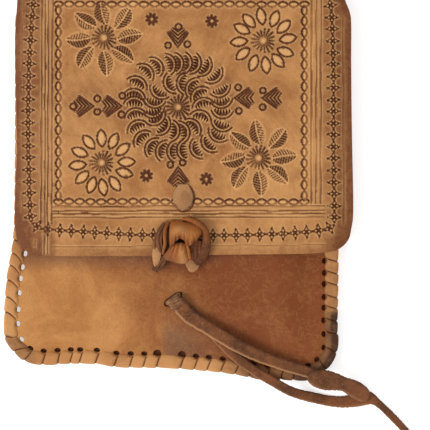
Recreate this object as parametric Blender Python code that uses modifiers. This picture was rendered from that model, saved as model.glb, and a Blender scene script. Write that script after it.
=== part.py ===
"""A hand-tooled leather flap bag lying on its back.

Metres. +Z points up out of the flap, +Y towards the top fold, +X to the right of the bag seen from above.
The origin is under the middle of the bag, on the surface that it lies on.
"""

import math

import bmesh
import bpy
from mathutils import Matrix, Vector

# The leather
LEATHER = 0.0022
SEAT_GAP = 0.0003
POCKET_DEPTH = 0.0080
SEAM_LIFT = 0.0040
SEAM_BAND = 0.0120
SLOPE_RUN = 0.0300
LIFT_RUN = 0.0600

# The laced body, seen from above
FOLD_Y = 0.1430
FOLD_WIDTH = 0.2125
BODY_WIDTH = 0.2178
BODY_SHIFT = -0.0051
BODY_LENGTH = 0.2714
BOTTOM_SLANT = 0.0147
BODY_CORNER = 0.0260
MOUTH_DROP = 0.0348
FOLD_LAND = 0.0020

# The flap
FLAP_WIDTH = 0.2234
FLAP_SHIFT = 0.0033
FLAP_LENGTH = 0.2024
FLAP_CORNER = 0.0150
FLAP_DROOP = 0.0032
DROOP_RUN = 0.0240
WAIST_RUN = 0.0500
UNDER_FLAP_GAP = 0.0020
HINGE_RISE = 0.0002

# The lacing
LACE_WIDTH = 0.0084
LACE_NECK = 0.0026
LACE_THICKNESS = 0.0013
LACE_PITCH = 0.0092
HOLE_RADIUS = 0.0021
HOLE_INSET = 0.0080
HOLE_SIDES = 6
END_STITCH = 0.0060
LACE_SET = 0.0003
RIGHT_SPLICE_SHARE = 0.30
LEFT_SPLICE_SHARE = 0.64

# The stamped ornament: a chain along the flap's edges, lines and ovals inside it, and the field
TOOL_DEPTH = 0.0006
CHAIN_SIDE_MARGIN = 0.0109
CHAIN_END_MARGIN = 0.0147
CHAIN_ROOT_MARGIN = 0.0047
CHAIN_PITCH = 0.0077
DIAMOND_LENGTH = 0.0062
DIAMOND_WIDTH = 0.0060
LINE_SIDE_MARGIN = 0.0083
LINE_END_MARGIN = 0.0106
LINE_BAND = 0.0066
LINE_WIDTH = 0.0008
OVAL_MARGIN = 0.0042
OVAL_PITCH = 0.0077
OVAL_LENGTH = 0.0068
OVAL_WIDTH = 0.0040
INNER_CRESCENTS = 14
INNER_RING = 0.0172
INNER_FACING = math.radians(86)
OUTER_CRESCENTS = 25
OUTER_RING = 0.0307
OUTER_FACING = math.radians(-83)
CRESCENT_RADIUS = 0.0068
CRESCENT_DEPTH = 0.0048
CRESCENT_SWEEP = math.radians(77)
ROSETTE_RADIUS = 0.0082
FLOWER_X = 0.0520
FLOWER_Y = 0.0410
FLOWER_HEART = 0.0048
PETALS = 11
PETAL_LENGTH = 0.0095
PETAL_WIDTH = 0.0048
PETAL_RING = 0.0112
LEAVES = 8
LEAF_LENGTH = 0.0130
LEAF_WIDTH = 0.0068
LEAF_RING = 0.0122
STAR_RADIUS = 0.0042
STAR_X = 0.0196
STAR_Y = 0.0490
ARROW_LENGTH = 0.0150
ARROW_WIDTH = 0.0120
ARROW_SHOULDER = 0.0090
ARROW_START = 0.0380
ARROW_STEP = 0.0180

# The toggle on the flap
TOGGLE_X = 0.0020
TOGGLE_RISE = 0.0069
KNOT_HEIGHT = 0.0145
KNOT_BASE_HEIGHT = 0.0050
ARCH_WIDTH = 0.0294
ARCH_LENGTH = 0.0272
ARCH_X = 0.0019
ARCH_Y = 0.0029
KNOT_MOUTH_RADIUS = 0.0038
KNOT_MOUTH_Y = -0.0007
TAB_RISE = 0.0400
TAB_WIDTH = 0.0123
TAB_LENGTH = 0.0174
THONG_WIDTH = 0.0066
THONG_THICKNESS = 0.0013
SLIT_MARGIN = 0.0005

# The closing loop
EXIT_X = -0.0036
EXIT_RISE = 0.0414
EXIT_TURN = math.radians(37)
STRAND_THICKNESS = 0.0022
KEEPER_THICKNESS = 0.0030
BUMP_WIDTH = 0.0130
BUMP_LENGTH = 0.0036
BUMP_HEIGHT = 0.0052
ANCHOR_WIDTH = 0.0170
ANCHOR_LENGTH = 0.0070
ANCHOR_THICKNESS = 0.0020

# Steps of the round stretches
CORNER_STEPS = 5
FOLD_STEPS = 6
CUT_MARGIN = 0.0100

# Heights that follow from the sizes above
FRONT_LEVEL = LEATHER + POCKET_DEPTH
FRONT_TOP = FRONT_LEVEL + LEATHER
FLAP_LEVEL = FRONT_TOP + UNDER_FLAP_GAP
FLAP_TOP = FLAP_LEVEL + LEATHER
FOLD_RADIUS = FLAP_TOP / 2
ROUND_Y = FOLD_Y - FOLD_RADIUS
HINGE_Y = ROUND_Y - FOLD_LAND
ROOT_Y = HINGE_Y - SEAT_GAP
MOUTH_Y = FOLD_Y - MOUTH_DROP
FLAP_BOTTOM_Y = FOLD_Y - FLAP_LENGTH
EXIT_Y = FOLD_Y - BODY_LENGTH + EXIT_RISE
TOGGLE_Y = FLAP_BOTTOM_Y + TOGGLE_RISE
TAB_TOP_Y = TOGGLE_Y + TAB_RISE

# The ornament's rectangles, as half their sizes
CHAIN_HALF_WIDTH = FLAP_WIDTH / 2 - CHAIN_SIDE_MARGIN
CHAIN_HALF_LENGTH = (ROOT_Y - CHAIN_ROOT_MARGIN - FLAP_BOTTOM_Y - CHAIN_END_MARGIN) / 2
OUTER_LINE_HALF_WIDTH = CHAIN_HALF_WIDTH - LINE_SIDE_MARGIN
OUTER_LINE_HALF_LENGTH = CHAIN_HALF_LENGTH - LINE_END_MARGIN
OVAL_HALF_WIDTH = OUTER_LINE_HALF_WIDTH - LINE_BAND - OVAL_MARGIN
OVAL_HALF_LENGTH = OUTER_LINE_HALF_LENGTH - LINE_BAND - OVAL_MARGIN
FIELD = Vector((FLAP_SHIFT, FLAP_BOTTOM_Y + CHAIN_END_MARGIN + CHAIN_HALF_LENGTH))

# Corners of the laced body, before they are rounded: top left, bottom left, bottom right, top right
BODY_CORNERS = [
    Vector((-FOLD_WIDTH / 2, ROUND_Y)),
    Vector((BODY_SHIFT - BODY_WIDTH / 2, FOLD_Y - BODY_LENGTH)),
    Vector((BODY_SHIFT + BODY_WIDTH / 2, FOLD_Y - BODY_LENGTH - BOTTOM_SLANT)),
    Vector((FOLD_WIDTH / 2, ROUND_Y)),
]

# The knot's outline from its own middle, from the tip of the left tail round the bottom
KNOT_OUTLINE = [
    (-0.0174, -0.0147), (-0.0135, -0.0125), (-0.0116, -0.0072), (-0.0042, -0.0100), (0.0023, -0.0118),
    (0.0058, -0.0165), (0.0108, -0.0125), (0.0170, -0.0054), (0.0193, 0.0032), (0.0174, 0.0100),
    (0.0116, 0.0165), (0.0015, 0.0193), (-0.0062, 0.0190), (-0.0108, 0.0165), (-0.0143, 0.0072),
    (-0.0193, -0.0072),
]

# The oval tab from its tip to its top: how far down it, as a share of its length, and its share of the width
TAB_SHAPE = [(1.0, 0.20), (0.85, 0.66), (0.55, 1.0), (0.25, 0.96), (0.10, 0.80)]

# The loose strands of the loop, by hand: x, y, the height of the middle of the leather, and its width
UPPER_ROUTE = [
    (-0.0010, -0.0882, 0.0163, 0.0096),
    (0.0040, -0.0952, 0.0163, 0.0098),
    (0.0105, -0.1006, 0.0163, 0.0094),
    (0.0178, -0.1050, 0.0163, 0.0090),
    (0.0260, -0.1100, 0.0163, 0.0090),
    (0.0350, -0.1155, 0.0163, 0.0088),
    (0.0427, -0.1196, 0.0162, 0.0086),
    (0.0500, -0.1231, 0.0152, 0.0083),
    (0.0590, -0.1268, 0.0139, 0.0080),
    (0.0705, -0.1308, 0.0131, 0.0076),
    (0.0800, -0.1337, 0.0129, 0.0073),
    (0.0890, -0.1365, 0.0126, 0.0070),
    (0.0970, -0.1392, 0.0119, 0.0064),
    (0.1040, -0.1415, 0.0096, 0.0060),
    (0.1095, -0.1436, 0.0070, 0.0056),
]
LOWER_ROUTE = [
    (0.0001, -0.0871, 0.0138, 0.0062),
    (0.0065, -0.0932, 0.0138, 0.0062),
    (0.0122, -0.0988, 0.0138, 0.0064),
    (0.0176, -0.1044, 0.0138, 0.0064),
    (0.0232, -0.1104, 0.0138, 0.0064),
    (0.0288, -0.1164, 0.0137, 0.0064),
    (0.0345, -0.1221, 0.0135, 0.0064),
    (0.0406, -0.1275, 0.0132, 0.0064),
    (0.0470, -0.1322, 0.0129, 0.0064),
    (0.0545, -0.1370, 0.0127, 0.0064),
    (0.0620, -0.1413, 0.0126, 0.0064),
    (0.0680, -0.1448, 0.0122, 0.0064),
    (0.0735, -0.1478, 0.0098, 0.0064),
    (0.0800, -0.1504, 0.0060, 0.0066),
    (0.0900, -0.1530, 0.0024, 0.0070),
    (0.1010, -0.1553, 0.0012, 0.0072),
    (0.1110, -0.1558, 0.0012, 0.0080),
    (0.1200, -0.1538, 0.0012, 0.0104),
    (0.1270, -0.1535, 0.0012, 0.0086),
    (0.1330, -0.1570, 0.0012, 0.0052),
    (0.1420, -0.1655, 0.0012, 0.0050),
    (0.1500, -0.1740, 0.0012, 0.0048),
    (0.1570, -0.1825, 0.0012, 0.0046),
    (0.1620, -0.1900, 0.0012, 0.0040),
]
KEEPER_ROUTE = [
    (0.0880, -0.1380, 0.0160, 0.0080),
    (0.0908, -0.1388, 0.0159, 0.0124),
    (0.0975, -0.1402, 0.0152, 0.0134),
    (0.1040, -0.1416, 0.0131, 0.0112),
    (0.1095, -0.1434, 0.0105, 0.0092),
    (0.1140, -0.1456, 0.0080, 0.0100),
    (0.1178, -0.1482, 0.0056, 0.0098),
    (0.1205, -0.1504, 0.0042, 0.0070),
]


def clamp(value):
    return max(0.0, min(1.0, value))


def clear_scene():
    for obj in list(bpy.data.objects):
        bpy.data.objects.remove(obj)


def new_collection(name):
    made = bpy.data.collections.new(name)
    bpy.context.scene.collection.children.link(made)
    return made


def leather(name, colour, roughness):
    """A plain leather finish."""
    made = bpy.data.materials.new(name)
    made.use_nodes = True
    shader = made.node_tree.nodes["Principled BSDF"]
    shader.inputs["Base Color"].default_value = (*colour, 1.0)
    shader.inputs["Roughness"].default_value = roughness
    shader.inputs["Metallic"].default_value = 0.0
    return made


def add_object(name, mesh, collection, material=None):
    obj = bpy.data.objects.new(name, mesh)
    collection.objects.link(obj)
    if material:
        mesh.materials.append(material)
    return obj


def mesh_from(name, bm):
    mesh = bpy.data.meshes.new(name)
    bmesh.ops.recalc_face_normals(bm, faces=bm.faces)
    bm.to_mesh(mesh)
    bm.free()
    return mesh


def hide_cutter(obj):
    obj.hide_render = True
    obj.display_type = "WIRE"
    return obj


def boolean(obj, operation, other, crossing=False):
    """Cuts or joins another object, whose own shapes may cross one another."""
    made = obj.modifiers.new(operation.title() + "_" + other.name, "BOOLEAN")
    made.operation = operation
    made.object = other
    made.use_self = crossing


def cross(a, b):
    return a.x * b.y - a.y * b.x


def meet(point, direction, other, other_direction):
    """Where two lines of the plan meet."""
    share = cross(other - point, other_direction) / cross(direction, other_direction)
    return point + share * direction


def inward(a, b):
    """The unit normal of side a to b of the body that points into it."""
    along = (b - a).normalized()
    return Vector((-along.y, along.x))


def fillet(before, corner, after, radius, steps):
    """Points of an arc that rounds a corner of the plan."""
    to_before = (before - corner).normalized()
    to_after = (after - corner).normalized()
    half = to_before.angle(to_after) / 2
    start = corner + to_before * radius / math.tan(half)
    end = corner + to_after * radius / math.tan(half)
    centre = corner + (to_before + to_after).normalized() * radius / math.sin(half)
    turn = (start - centre).angle_signed(end - centre)
    return [centre + Matrix.Rotation(-turn * i / steps, 2) @ (start - centre) for i in range(steps + 1)]


def body_line(inset, top):
    """The body's outline this far in from its edge: down the left, along the bottom, up the right."""
    a, b, c, d = BODY_CORNERS
    sides = [(a, b), (b, c), (c, d)]
    lines = [(p + inward(p, q) * inset, q - p) for p, q in sides]
    level = (Vector((0.0, top)), Vector((1.0, 0.0)))
    turn_level = (Vector((0.0, ROUND_Y - LIFT_RUN)), Vector((1.0, 0.0)))
    left_top = meet(*lines[0], *level)
    left_turn = meet(*lines[0], *turn_level)
    bottom_left = meet(*lines[0], *lines[1])
    bottom_right = meet(*lines[1], *lines[2])
    right_turn = meet(*lines[2], *turn_level)
    right_top = meet(*lines[2], *level)
    radius = max(BODY_CORNER - inset, SEAT_GAP)
    left_arc = fillet(left_top, bottom_left, bottom_right, radius, CORNER_STEPS)
    right_arc = fillet(bottom_left, bottom_right, right_top, radius, CORNER_STEPS)
    return [left_top, left_turn, *left_arc, *right_arc, right_turn, right_top]


def body_inset(x, y):
    """How far a point of the plan lies in from the nearest laced edge."""
    point = Vector((x, y))
    corners = BODY_CORNERS
    return min(inward(p, q).dot(point - p) for p, q in zip(corners, corners[1:]))


def seam_lift(y):
    """How high the laced seam stands over the surface. It comes down to it at the fold."""
    return SEAM_LIFT * clamp((ROUND_Y - y) / LIFT_RUN)


def slope_share(inset):
    return clamp((inset - SEAM_BAND) / SLOPE_RUN)


def back_bottom(inset, y):
    return seam_lift(y) * (1 - slope_share(inset))


def front_bottom(inset, y):
    share = slope_share(inset)
    return (seam_lift(y) + LEATHER + SEAT_GAP) * (1 - share) + FRONT_LEVEL * share


def flap_bottom(x, y):
    """Underside of the flap, which droops at its two sides."""
    over = abs(x - FLAP_SHIFT) - (FLAP_WIDTH / 2 - DROOP_RUN)
    return FLAP_LEVEL - FLAP_DROOP * clamp(over / DROOP_RUN) * clamp((ROOT_Y - y) / WAIST_RUN)


def body_surface(height, top):
    """The lower face of a laced panel, open at the mouth, as rings that follow the seam."""
    bm = bmesh.new()
    rings = []
    for inset in (0.0, SEAM_BAND, SEAM_BAND + SLOPE_RUN):
        rings.append([bm.verts.new((p.x, p.y, height(inset, p.y))) for p in body_line(inset, top)])
    for outer, inner in zip(rings, rings[1:]):
        for i in range(len(outer) - 1):
            bm.faces.new((outer[i], outer[i + 1], inner[i + 1], inner[i]))
    bm.faces.new(rings[-1])
    return bm


def solidify(obj, thickness, offset):
    made = obj.modifiers.new("Thickness", "SOLIDIFY")
    made.thickness = thickness
    made.offset = offset
    made.use_even_offset = True


def upward(bm):
    """Turns the faces of an open sheet so that those lying flat look up."""
    bm.normal_update()
    bmesh.ops.recalc_face_normals(bm, faces=bm.faces)
    bm.normal_update()
    flat = max(bm.faces, key=lambda face: face.calc_area())
    if flat.normal.z < 0:
        bmesh.ops.reverse_faces(bm, faces=bm.faces)
    return bm


def along_line(points, distance):
    """The point this far along a line of the plan, and the line's direction there."""
    for a, b in zip(points, points[1:]):
        length = (b - a).length
        if distance <= length:
            break
        distance -= length
    direction = (b - a).normalized()
    return a + direction * distance, direction


def lacing_spots():
    """Spots on the line of the lacing holes from the right of the mouth round to the left.

    Every even one is a hole, and every odd one is where the lace crosses the edge between two holes.
    Each has its point and the directions out of the body and along the line.
    """
    line = list(reversed(body_line(HOLE_INSET, MOUTH_Y)))
    length = sum((b - a).length for a, b in zip(line, line[1:])) - 2 * END_STITCH
    count = round(length / LACE_PITCH)
    spots = []
    for i in range(2 * count + 1):
        point, along = along_line(line, END_STITCH + length * i / (2 * count))
        spots.append((point, Vector((-along.y, along.x)), along))
    return spots


def join_prisms(name, prisms, collection, material=None):
    """Upright prisms in one object, each an outline with its floor, its roof and the floor's sideways slope."""
    bm = bmesh.new()
    for outline, floor, roof, slant in prisms:
        middle = sum((p.x for p in outline), 0.0) / len(outline)
        low = [bm.verts.new((p.x, p.y, floor + slant * (p.x - middle))) for p in outline]
        high = [bm.verts.new((p.x, p.y, roof)) for p in outline]
        bm.faces.new(low)
        bm.faces.new(high)
        for i in range(len(outline)):
            j = (i + 1) % len(outline)
            bm.faces.new((low[i], low[j], high[j], high[i]))
    return add_object(name, mesh_from(name, bm), collection, material)


def prism_cutter(name, prisms, collection):
    return hide_cutter(join_prisms(name, prisms, collection))


def regular(centre, radius, sides, turn=0.0):
    angles = [turn + 2 * math.pi * i / sides for i in range(sides)]
    return [centre + radius * Vector((math.cos(a), math.sin(a))) for a in angles]


def placed(outline, centre, angle):
    return [centre + Matrix.Rotation(angle, 2) @ p for p in outline]


def rhomb(length, width):
    """A stamp with four points, its long way along its own x."""
    return [Vector(p) for p in ((length / 2, 0), (0, width / 2), (-length / 2, 0), (0, -width / 2))]


def crescent():
    """A half-moon stamp whose round back faces its own +x."""
    turns = (-CRESCENT_SWEEP, -CRESCENT_SWEEP / 2, CRESCENT_SWEEP / 2, CRESCENT_SWEEP)
    back = [CRESCENT_RADIUS * Vector((math.cos(a), math.sin(a))) for a in turns]
    hollow = Vector((CRESCENT_RADIUS - CRESCENT_DEPTH, 0.0))
    shift = Vector((CRESCENT_RADIUS / 2, 0.0))
    return [p - shift for p in [*back, hollow]]


def chain(half_width, half_length, pitch):
    """Places and headings of stamps spaced round a rectangle of the ornament."""
    places = []
    for half_run, half_across, heading in (
        (half_width, half_length, 0.0),
        (half_length, half_width, math.pi / 2),
        (half_width, half_length, math.pi),
        (half_length, half_width, -math.pi / 2),
    ):
        count = round(2 * half_run / pitch)
        for i in range(count):
            spot = Vector((2 * half_run * ((i + 0.5) / count - 0.5), -half_across))
            places.append((FIELD + Matrix.Rotation(heading, 2) @ spot, heading))
    return places


def ring_of(stamp, centre, count, radius, facing):
    """A stamp repeated round a centre, turned by facing from the way out."""
    made = []
    for i in range(count):
        angle = 2 * math.pi * i / count
        spot = centre + radius * Vector((math.cos(angle), math.sin(angle)))
        made.append(placed(stamp, spot, angle + facing))
    return made


def medallion():
    inner = ring_of(crescent(), FIELD, INNER_CRESCENTS, INNER_RING, INNER_FACING)
    outer = ring_of(crescent(), FIELD, OUTER_CRESCENTS, OUTER_RING, OUTER_FACING)
    return [*inner, *outer, regular(FIELD, ROSETTE_RADIUS, 8)]


def flowers():
    """Petal flowers on one diagonal of the field and leaf flowers on the other."""
    petal = rhomb(PETAL_LENGTH, PETAL_WIDTH)
    leaf = rhomb(LEAF_LENGTH, LEAF_WIDTH)
    made = []
    for side in (1, -1):
        petals = FIELD + Vector((side * FLOWER_X, side * FLOWER_Y))
        leaves = FIELD + Vector((-side * FLOWER_X, side * FLOWER_Y))
        made += ring_of(petal, petals, PETALS, PETAL_RING, 0.0)
        made += ring_of(leaf, leaves, LEAVES, LEAF_RING, 0.0)
        made += [regular(petals, FLOWER_HEART, 8), regular(leaves, FLOWER_HEART, 8)]
    return made


def arrows():
    """Arrow heads that point at the medallion: two on each side and one above."""
    half = ARROW_WIDTH / 2
    head = [Vector(p) for p in ((0, 0), (ARROW_SHOULDER, half), (ARROW_LENGTH, 0), (ARROW_SHOULDER, -half))]
    made = []
    for angle, count in ((0.0, 2), (math.pi, 2), (math.pi / 2, 1)):
        out = Vector((math.cos(angle), math.sin(angle)))
        for i in range(count):
            made.append(placed(head, FIELD + out * (ARROW_START + i * ARROW_STEP), angle))
    return made


def stars():
    spots = [Vector((sx * STAR_X, sy * STAR_Y)) for sx in (1, -1) for sy in (1, -1)]
    return [regular(FIELD + spot, STAR_RADIUS, 6) for spot in spots]


def frame_grooves():
    """The two incised lines round the field, each as four bars that stop short of one another."""
    bars = []
    for inset in (0.0, LINE_BAND):
        half_width = OUTER_LINE_HALF_WIDTH - inset
        half_length = OUTER_LINE_HALF_LENGTH - inset
        for sign in (1, -1):
            across = FIELD + Vector((0.0, sign * half_length))
            down = FIELD + Vector((sign * half_width, 0.0))
            bars.append(box_outline(across.x, across.y, 2 * (half_width - LINE_WIDTH), LINE_WIDTH))
            bars.append(box_outline(down.x, down.y, LINE_WIDTH, 2 * (half_length - LINE_WIDTH)))
    return bars


def tooling_cutter(collection):
    """The stamped ornament as recesses of one depth."""
    oval = rhomb(OVAL_LENGTH, OVAL_WIDTH)
    diamond = rhomb(DIAMOND_LENGTH, DIAMOND_WIDTH)
    stamps = medallion() + flowers() + arrows() + stars() + frame_grooves()
    stamps += [placed(oval, p, a) for p, a in chain(OVAL_HALF_WIDTH, OVAL_HALF_LENGTH, OVAL_PITCH)]
    stamps += [placed(diamond, p, a) for p, a in chain(CHAIN_HALF_WIDTH, CHAIN_HALF_LENGTH, CHAIN_PITCH)]
    outlines = []
    for outline in stamps:
        middle = sum(outline, Vector((0.0, 0.0))) / len(outline)
        level = flap_bottom(middle.x, middle.y) + LEATHER
        ahead = flap_bottom(middle.x + LINE_WIDTH, middle.y) + LEATHER
        slant = (ahead - level) / LINE_WIDTH
        outlines.append((outline, level - TOOL_DEPTH, FLAP_TOP + CUT_MARGIN, slant))
    return prism_cutter("Cutter_tooling", outlines, collection)


def hole_cutter(collection):
    outlines = []
    for point, _, along in lacing_spots()[::2]:
        hole = regular(point, HOLE_RADIUS, HOLE_SIDES, math.atan2(along.y, along.x))
        outlines.append((hole, -CUT_MARGIN, FLAP_TOP + CUT_MARGIN, 0.0))
    return prism_cutter("Cutter_lace_holes", outlines, collection)


def box_outline(x, y, width, length, turn=0.0):
    x_half, y_half = width / 2, length / 2
    corners = [(-x_half, -y_half), (x_half, -y_half), (x_half, y_half), (-x_half, y_half)]
    return placed([Vector(p) for p in corners], Vector((x, y)), turn)


def strip(name, sections, collection, material):
    """A flat strap through sections: middle, half the width as a vector, half the thickness as one."""
    bm = bmesh.new()
    rings = []
    for middle, side, up in sections:
        corners = (middle - side - up, middle + side - up, middle + side + up, middle - side + up)
        rings.append([bm.verts.new(p) for p in corners])
    for a, b in zip(rings, rings[1:]):
        for i in range(4):
            j = (i + 1) % 4
            bm.faces.new((a[i], a[j], b[j], b[i]))
    bm.faces.new(rings[0])
    bm.faces.new(rings[-1])
    return add_object(name, mesh_from(name, bm), collection, material)


def panel_heights(point):
    """Lowest and highest leather of the laced seam at a point of the plan."""
    inset = body_inset(point.x, point.y)
    return back_bottom(inset, point.y), front_bottom(inset, point.y) + LEATHER


def stitch_sections(hole, edge, next_hole):
    """One turn of whip stitch: up out of a hole, over the edge, and back under to the next hole."""
    up = Vector((0.0, 0.0, 1.0))
    half = LACE_THICKNESS / 2
    sections = []
    for (point, outward, along), above in ((hole, True), (edge, True), (edge, False), (next_hole, False)):
        at_edge = (point, outward, along) == edge
        reach = HOLE_INSET + SEAT_GAP + half if at_edge else LACE_SET
        width = LACE_WIDTH if at_edge else LACE_NECK
        spot = point + outward * reach
        low, high = panel_heights(point)
        level = high + SEAT_GAP + half if above else low - SEAT_GAP - half
        ahead = panel_heights(point + along * LACE_WIDTH / 2)[0]
        side = along.to_3d() * width / 2 + up * (ahead - low) * width / LACE_WIDTH
        turn = outward.to_3d() if at_edge else -outward.to_3d()
        sections.append((spot.to_3d() + up * level, side, ((up if above else -up) + turn) * half))
    return sections


def make_laces(collection, materials):
    """Three laces that share the whip stitch, joined where the photograph shows a splice."""
    spots = lacing_spots()
    last = len(spots) // 2
    right_end = round(last * RIGHT_SPLICE_SHARE)
    bottom_end = round(last * LEFT_SPLICE_SHARE)
    spans = {
        "lace_right": (0, right_end),
        "lace_bottom": (right_end, bottom_end),
        "lace_left": (bottom_end, last),
    }
    for name, (first, end) in spans.items():
        sections = []
        for i in range(first, end):
            sections += stitch_sections(*spots[2 * i:2 * i + 3])
        strip(name, sections, collection, materials[name])


def smooth_route(points):
    """Twice as many points on a smooth curve through those given."""
    rows = [Vector(p) for p in points]
    made = []
    for i in range(len(rows) - 1):
        before = rows[max(i - 1, 0)]
        after = rows[min(i + 2, len(rows) - 1)]
        made.append(rows[i])
        made.append((rows[i] + rows[i + 1]) * 0.5625 - (before + after) * 0.0625)
    return [*made, rows[-1]]


def thong(name, route, thickness, collection, material):
    """A flat strand of leather along a route of x, y, height and width."""
    rows = smooth_route(route)
    sections = []
    for i, row in enumerate(rows):
        run = rows[min(i + 1, len(rows) - 1)] - rows[max(i - 1, 0)]
        forward = run.to_3d().normalized()
        side = Vector((-forward.y, forward.x, 0.0)).normalized()
        sections.append((row.to_3d(), side * row.w / 2, forward.cross(side) * thickness / 2))
    return strip(name, sections, collection, material)


def flap_outline():
    """The flap seen from above, from the left of its root down and round to the right."""
    left = FLAP_SHIFT - FLAP_WIDTH / 2
    right = FLAP_SHIFT + FLAP_WIDTH / 2
    corners = [Vector((left, ROOT_Y)), Vector((left, FLAP_BOTTOM_Y)),
               Vector((right, FLAP_BOTTOM_Y)), Vector((right, ROOT_Y))]
    left_arc = fillet(corners[0], corners[1], corners[2], FLAP_CORNER, CORNER_STEPS)
    right_arc = fillet(corners[1], corners[2], corners[3], FLAP_CORNER, CORNER_STEPS)
    return [corners[0], *left_arc, *right_arc, corners[3]]


def flap_mesh():
    """The flap's underside with its drooping sides, to be thickened upwards."""
    bm = bmesh.new()
    bm.faces.new([bm.verts.new((p.x, p.y, 0.0)) for p in flap_outline()])
    cuts = [
        (Vector((FLAP_SHIFT - FLAP_WIDTH / 2 + DROOP_RUN, 0, 0)), Vector((1, 0, 0))),
        (Vector((FLAP_SHIFT + FLAP_WIDTH / 2 - DROOP_RUN, 0, 0)), Vector((1, 0, 0))),
        (Vector((0, ROOT_Y - WAIST_RUN, 0)), Vector((0, 1, 0))),
    ]
    for point, normal in cuts:
        bmesh.ops.bisect_plane(bm, geom=[*bm.verts, *bm.edges, *bm.faces], plane_co=point, plane_no=normal)
    for vert in bm.verts:
        vert.co.z = flap_bottom(vert.co.x, vert.co.y)
    mesh = bpy.data.meshes.new("flap")
    upward(bm).to_mesh(mesh)
    bm.free()
    return mesh


def slit_cutter(name, x, y, width, length, turn, collection):
    outline = box_outline(x, y, width + 2 * SLIT_MARGIN, length + 2 * SLIT_MARGIN, turn)
    return prism_cutter(name, [(outline, FRONT_LEVEL - CUT_MARGIN, FLAP_TOP + CUT_MARGIN, 0.0)], collection)


def hang_on(pivot, obj):
    """Lets an object turn with the pivot and stay where it is."""
    obj.parent = pivot
    obj.matrix_parent_inverse = Matrix.Translation(-pivot.location)


def make_flap(parts, cutters, material):
    flap = add_object("flap", flap_mesh(), parts, material)
    solidify(flap, LEATHER, 1.0)
    boolean(flap, "DIFFERENCE", tooling_cutter(cutters), crossing=True)
    for name, y in (("Cutter_tab_slit", TAB_TOP_Y), ("Cutter_knot_slit", TOGGLE_Y)):
        slit = slit_cutter(name, TOGGLE_X, y, THONG_WIDTH, THONG_THICKNESS, 0.0, cutters)
        boolean(flap, "DIFFERENCE", slit)
    return flap


def make_toggle_thong(parts, material):
    """The thong from the tip of the oval tab, down through one slit and up through the other."""
    half = THONG_THICKNESS / 2
    up = Vector((0.0, 0.0, half))
    ahead = Vector((0.0, half, 0.0))
    over = FLAP_TOP + SEAT_GAP + half
    under = FLAP_LEVEL - SEAT_GAP - half
    rows = [(TAB_TOP_Y - TAB_LENGTH * down, over, TAB_WIDTH * share, up) for down, share in TAB_SHAPE]
    rows += [
        (TAB_TOP_Y, over, THONG_WIDTH, up + ahead),
        (TAB_TOP_Y, under, THONG_WIDTH, ahead - up),
        (TOGGLE_Y, under, THONG_WIDTH, -up - ahead),
        (TOGGLE_Y, FLAP_TOP, THONG_WIDTH, -ahead),
    ]
    sections = []
    for y, z, width, outer in rows:
        sections.append((Vector((TOGGLE_X, y, z)), Vector((width / 2, 0.0, 0.0)), outer))
    return strip("toggle_thong", sections, parts, material)


def make_knot(parts, cutters, material):
    """The rolled leather button: its spread ends, the arch over them and the mouth under the arch."""
    floor = FLAP_TOP + SEAT_GAP
    outline = [Vector((TOGGLE_X + x, TOGGLE_Y + y)) for x, y in KNOT_OUTLINE]
    knot = join_prisms("toggle_knot", [(outline, floor, floor + KNOT_BASE_HEIGHT, 0.0)], parts, material)
    bm = bmesh.new()
    bmesh.ops.create_uvsphere(bm, u_segments=18, v_segments=12, radius=1.0)
    radii = (ARCH_WIDTH / 2, ARCH_LENGTH / 2, KNOT_HEIGHT - KNOT_BASE_HEIGHT / 2)
    arch_spot = (TOGGLE_X + ARCH_X, TOGGLE_Y + ARCH_Y, floor + KNOT_BASE_HEIGHT / 2)
    bmesh.ops.scale(bm, vec=radii, verts=bm.verts)
    bmesh.ops.translate(bm, vec=arch_spot, verts=bm.verts)
    sides = [*bm.verts, *bm.edges, *bm.faces]
    cut = bmesh.ops.bisect_plane(bm, geom=sides, plane_co=(0, 0, floor + KNOT_BASE_HEIGHT / 4),
                                 plane_no=(0, 0, 1), clear_inner=True)
    bmesh.ops.holes_fill(bm, edges=[e for e in cut["geom_cut"] if isinstance(e, bmesh.types.BMEdge)])
    boolean(knot, "UNION", hide_cutter(add_object("Knot_arch", mesh_from("Knot_arch", bm), cutters)))
    bm = bmesh.new()
    bmesh.ops.create_icosphere(bm, subdivisions=2, radius=KNOT_MOUTH_RADIUS)
    mouth_spot = (TOGGLE_X, TOGGLE_Y + KNOT_MOUTH_Y, floor + KNOT_HEIGHT)
    bmesh.ops.translate(bm, vec=mouth_spot, verts=bm.verts)
    mouth = mesh_from("Cutter_knot_mouth", bm)
    boolean(knot, "DIFFERENCE", hide_cutter(add_object("Cutter_knot_mouth", mouth, cutters)))
    return knot


def make_anchor(parts, cutters, material):
    """The thong's knotted end in the pocket, with the rough bump that stands out of the slit."""
    plate = box_outline(EXIT_X, EXIT_Y, ANCHOR_WIDTH, ANCHOR_LENGTH, EXIT_TURN)
    plate_top = FRONT_LEVEL - SEAT_GAP
    plate_floor = plate_top - ANCHOR_THICKNESS
    anchor = join_prisms("loop_anchor", [(plate, plate_floor, plate_top, 0.0)], parts, material)
    bump = box_outline(EXIT_X, EXIT_Y, BUMP_WIDTH, BUMP_LENGTH, EXIT_TURN)
    rise = (bump, plate_top - ANCHOR_THICKNESS / 2, FRONT_TOP + BUMP_HEIGHT, 0.0)
    boolean(anchor, "UNION", prism_cutter("Anchor_bump", [rise], cutters))
    return anchor


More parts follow.
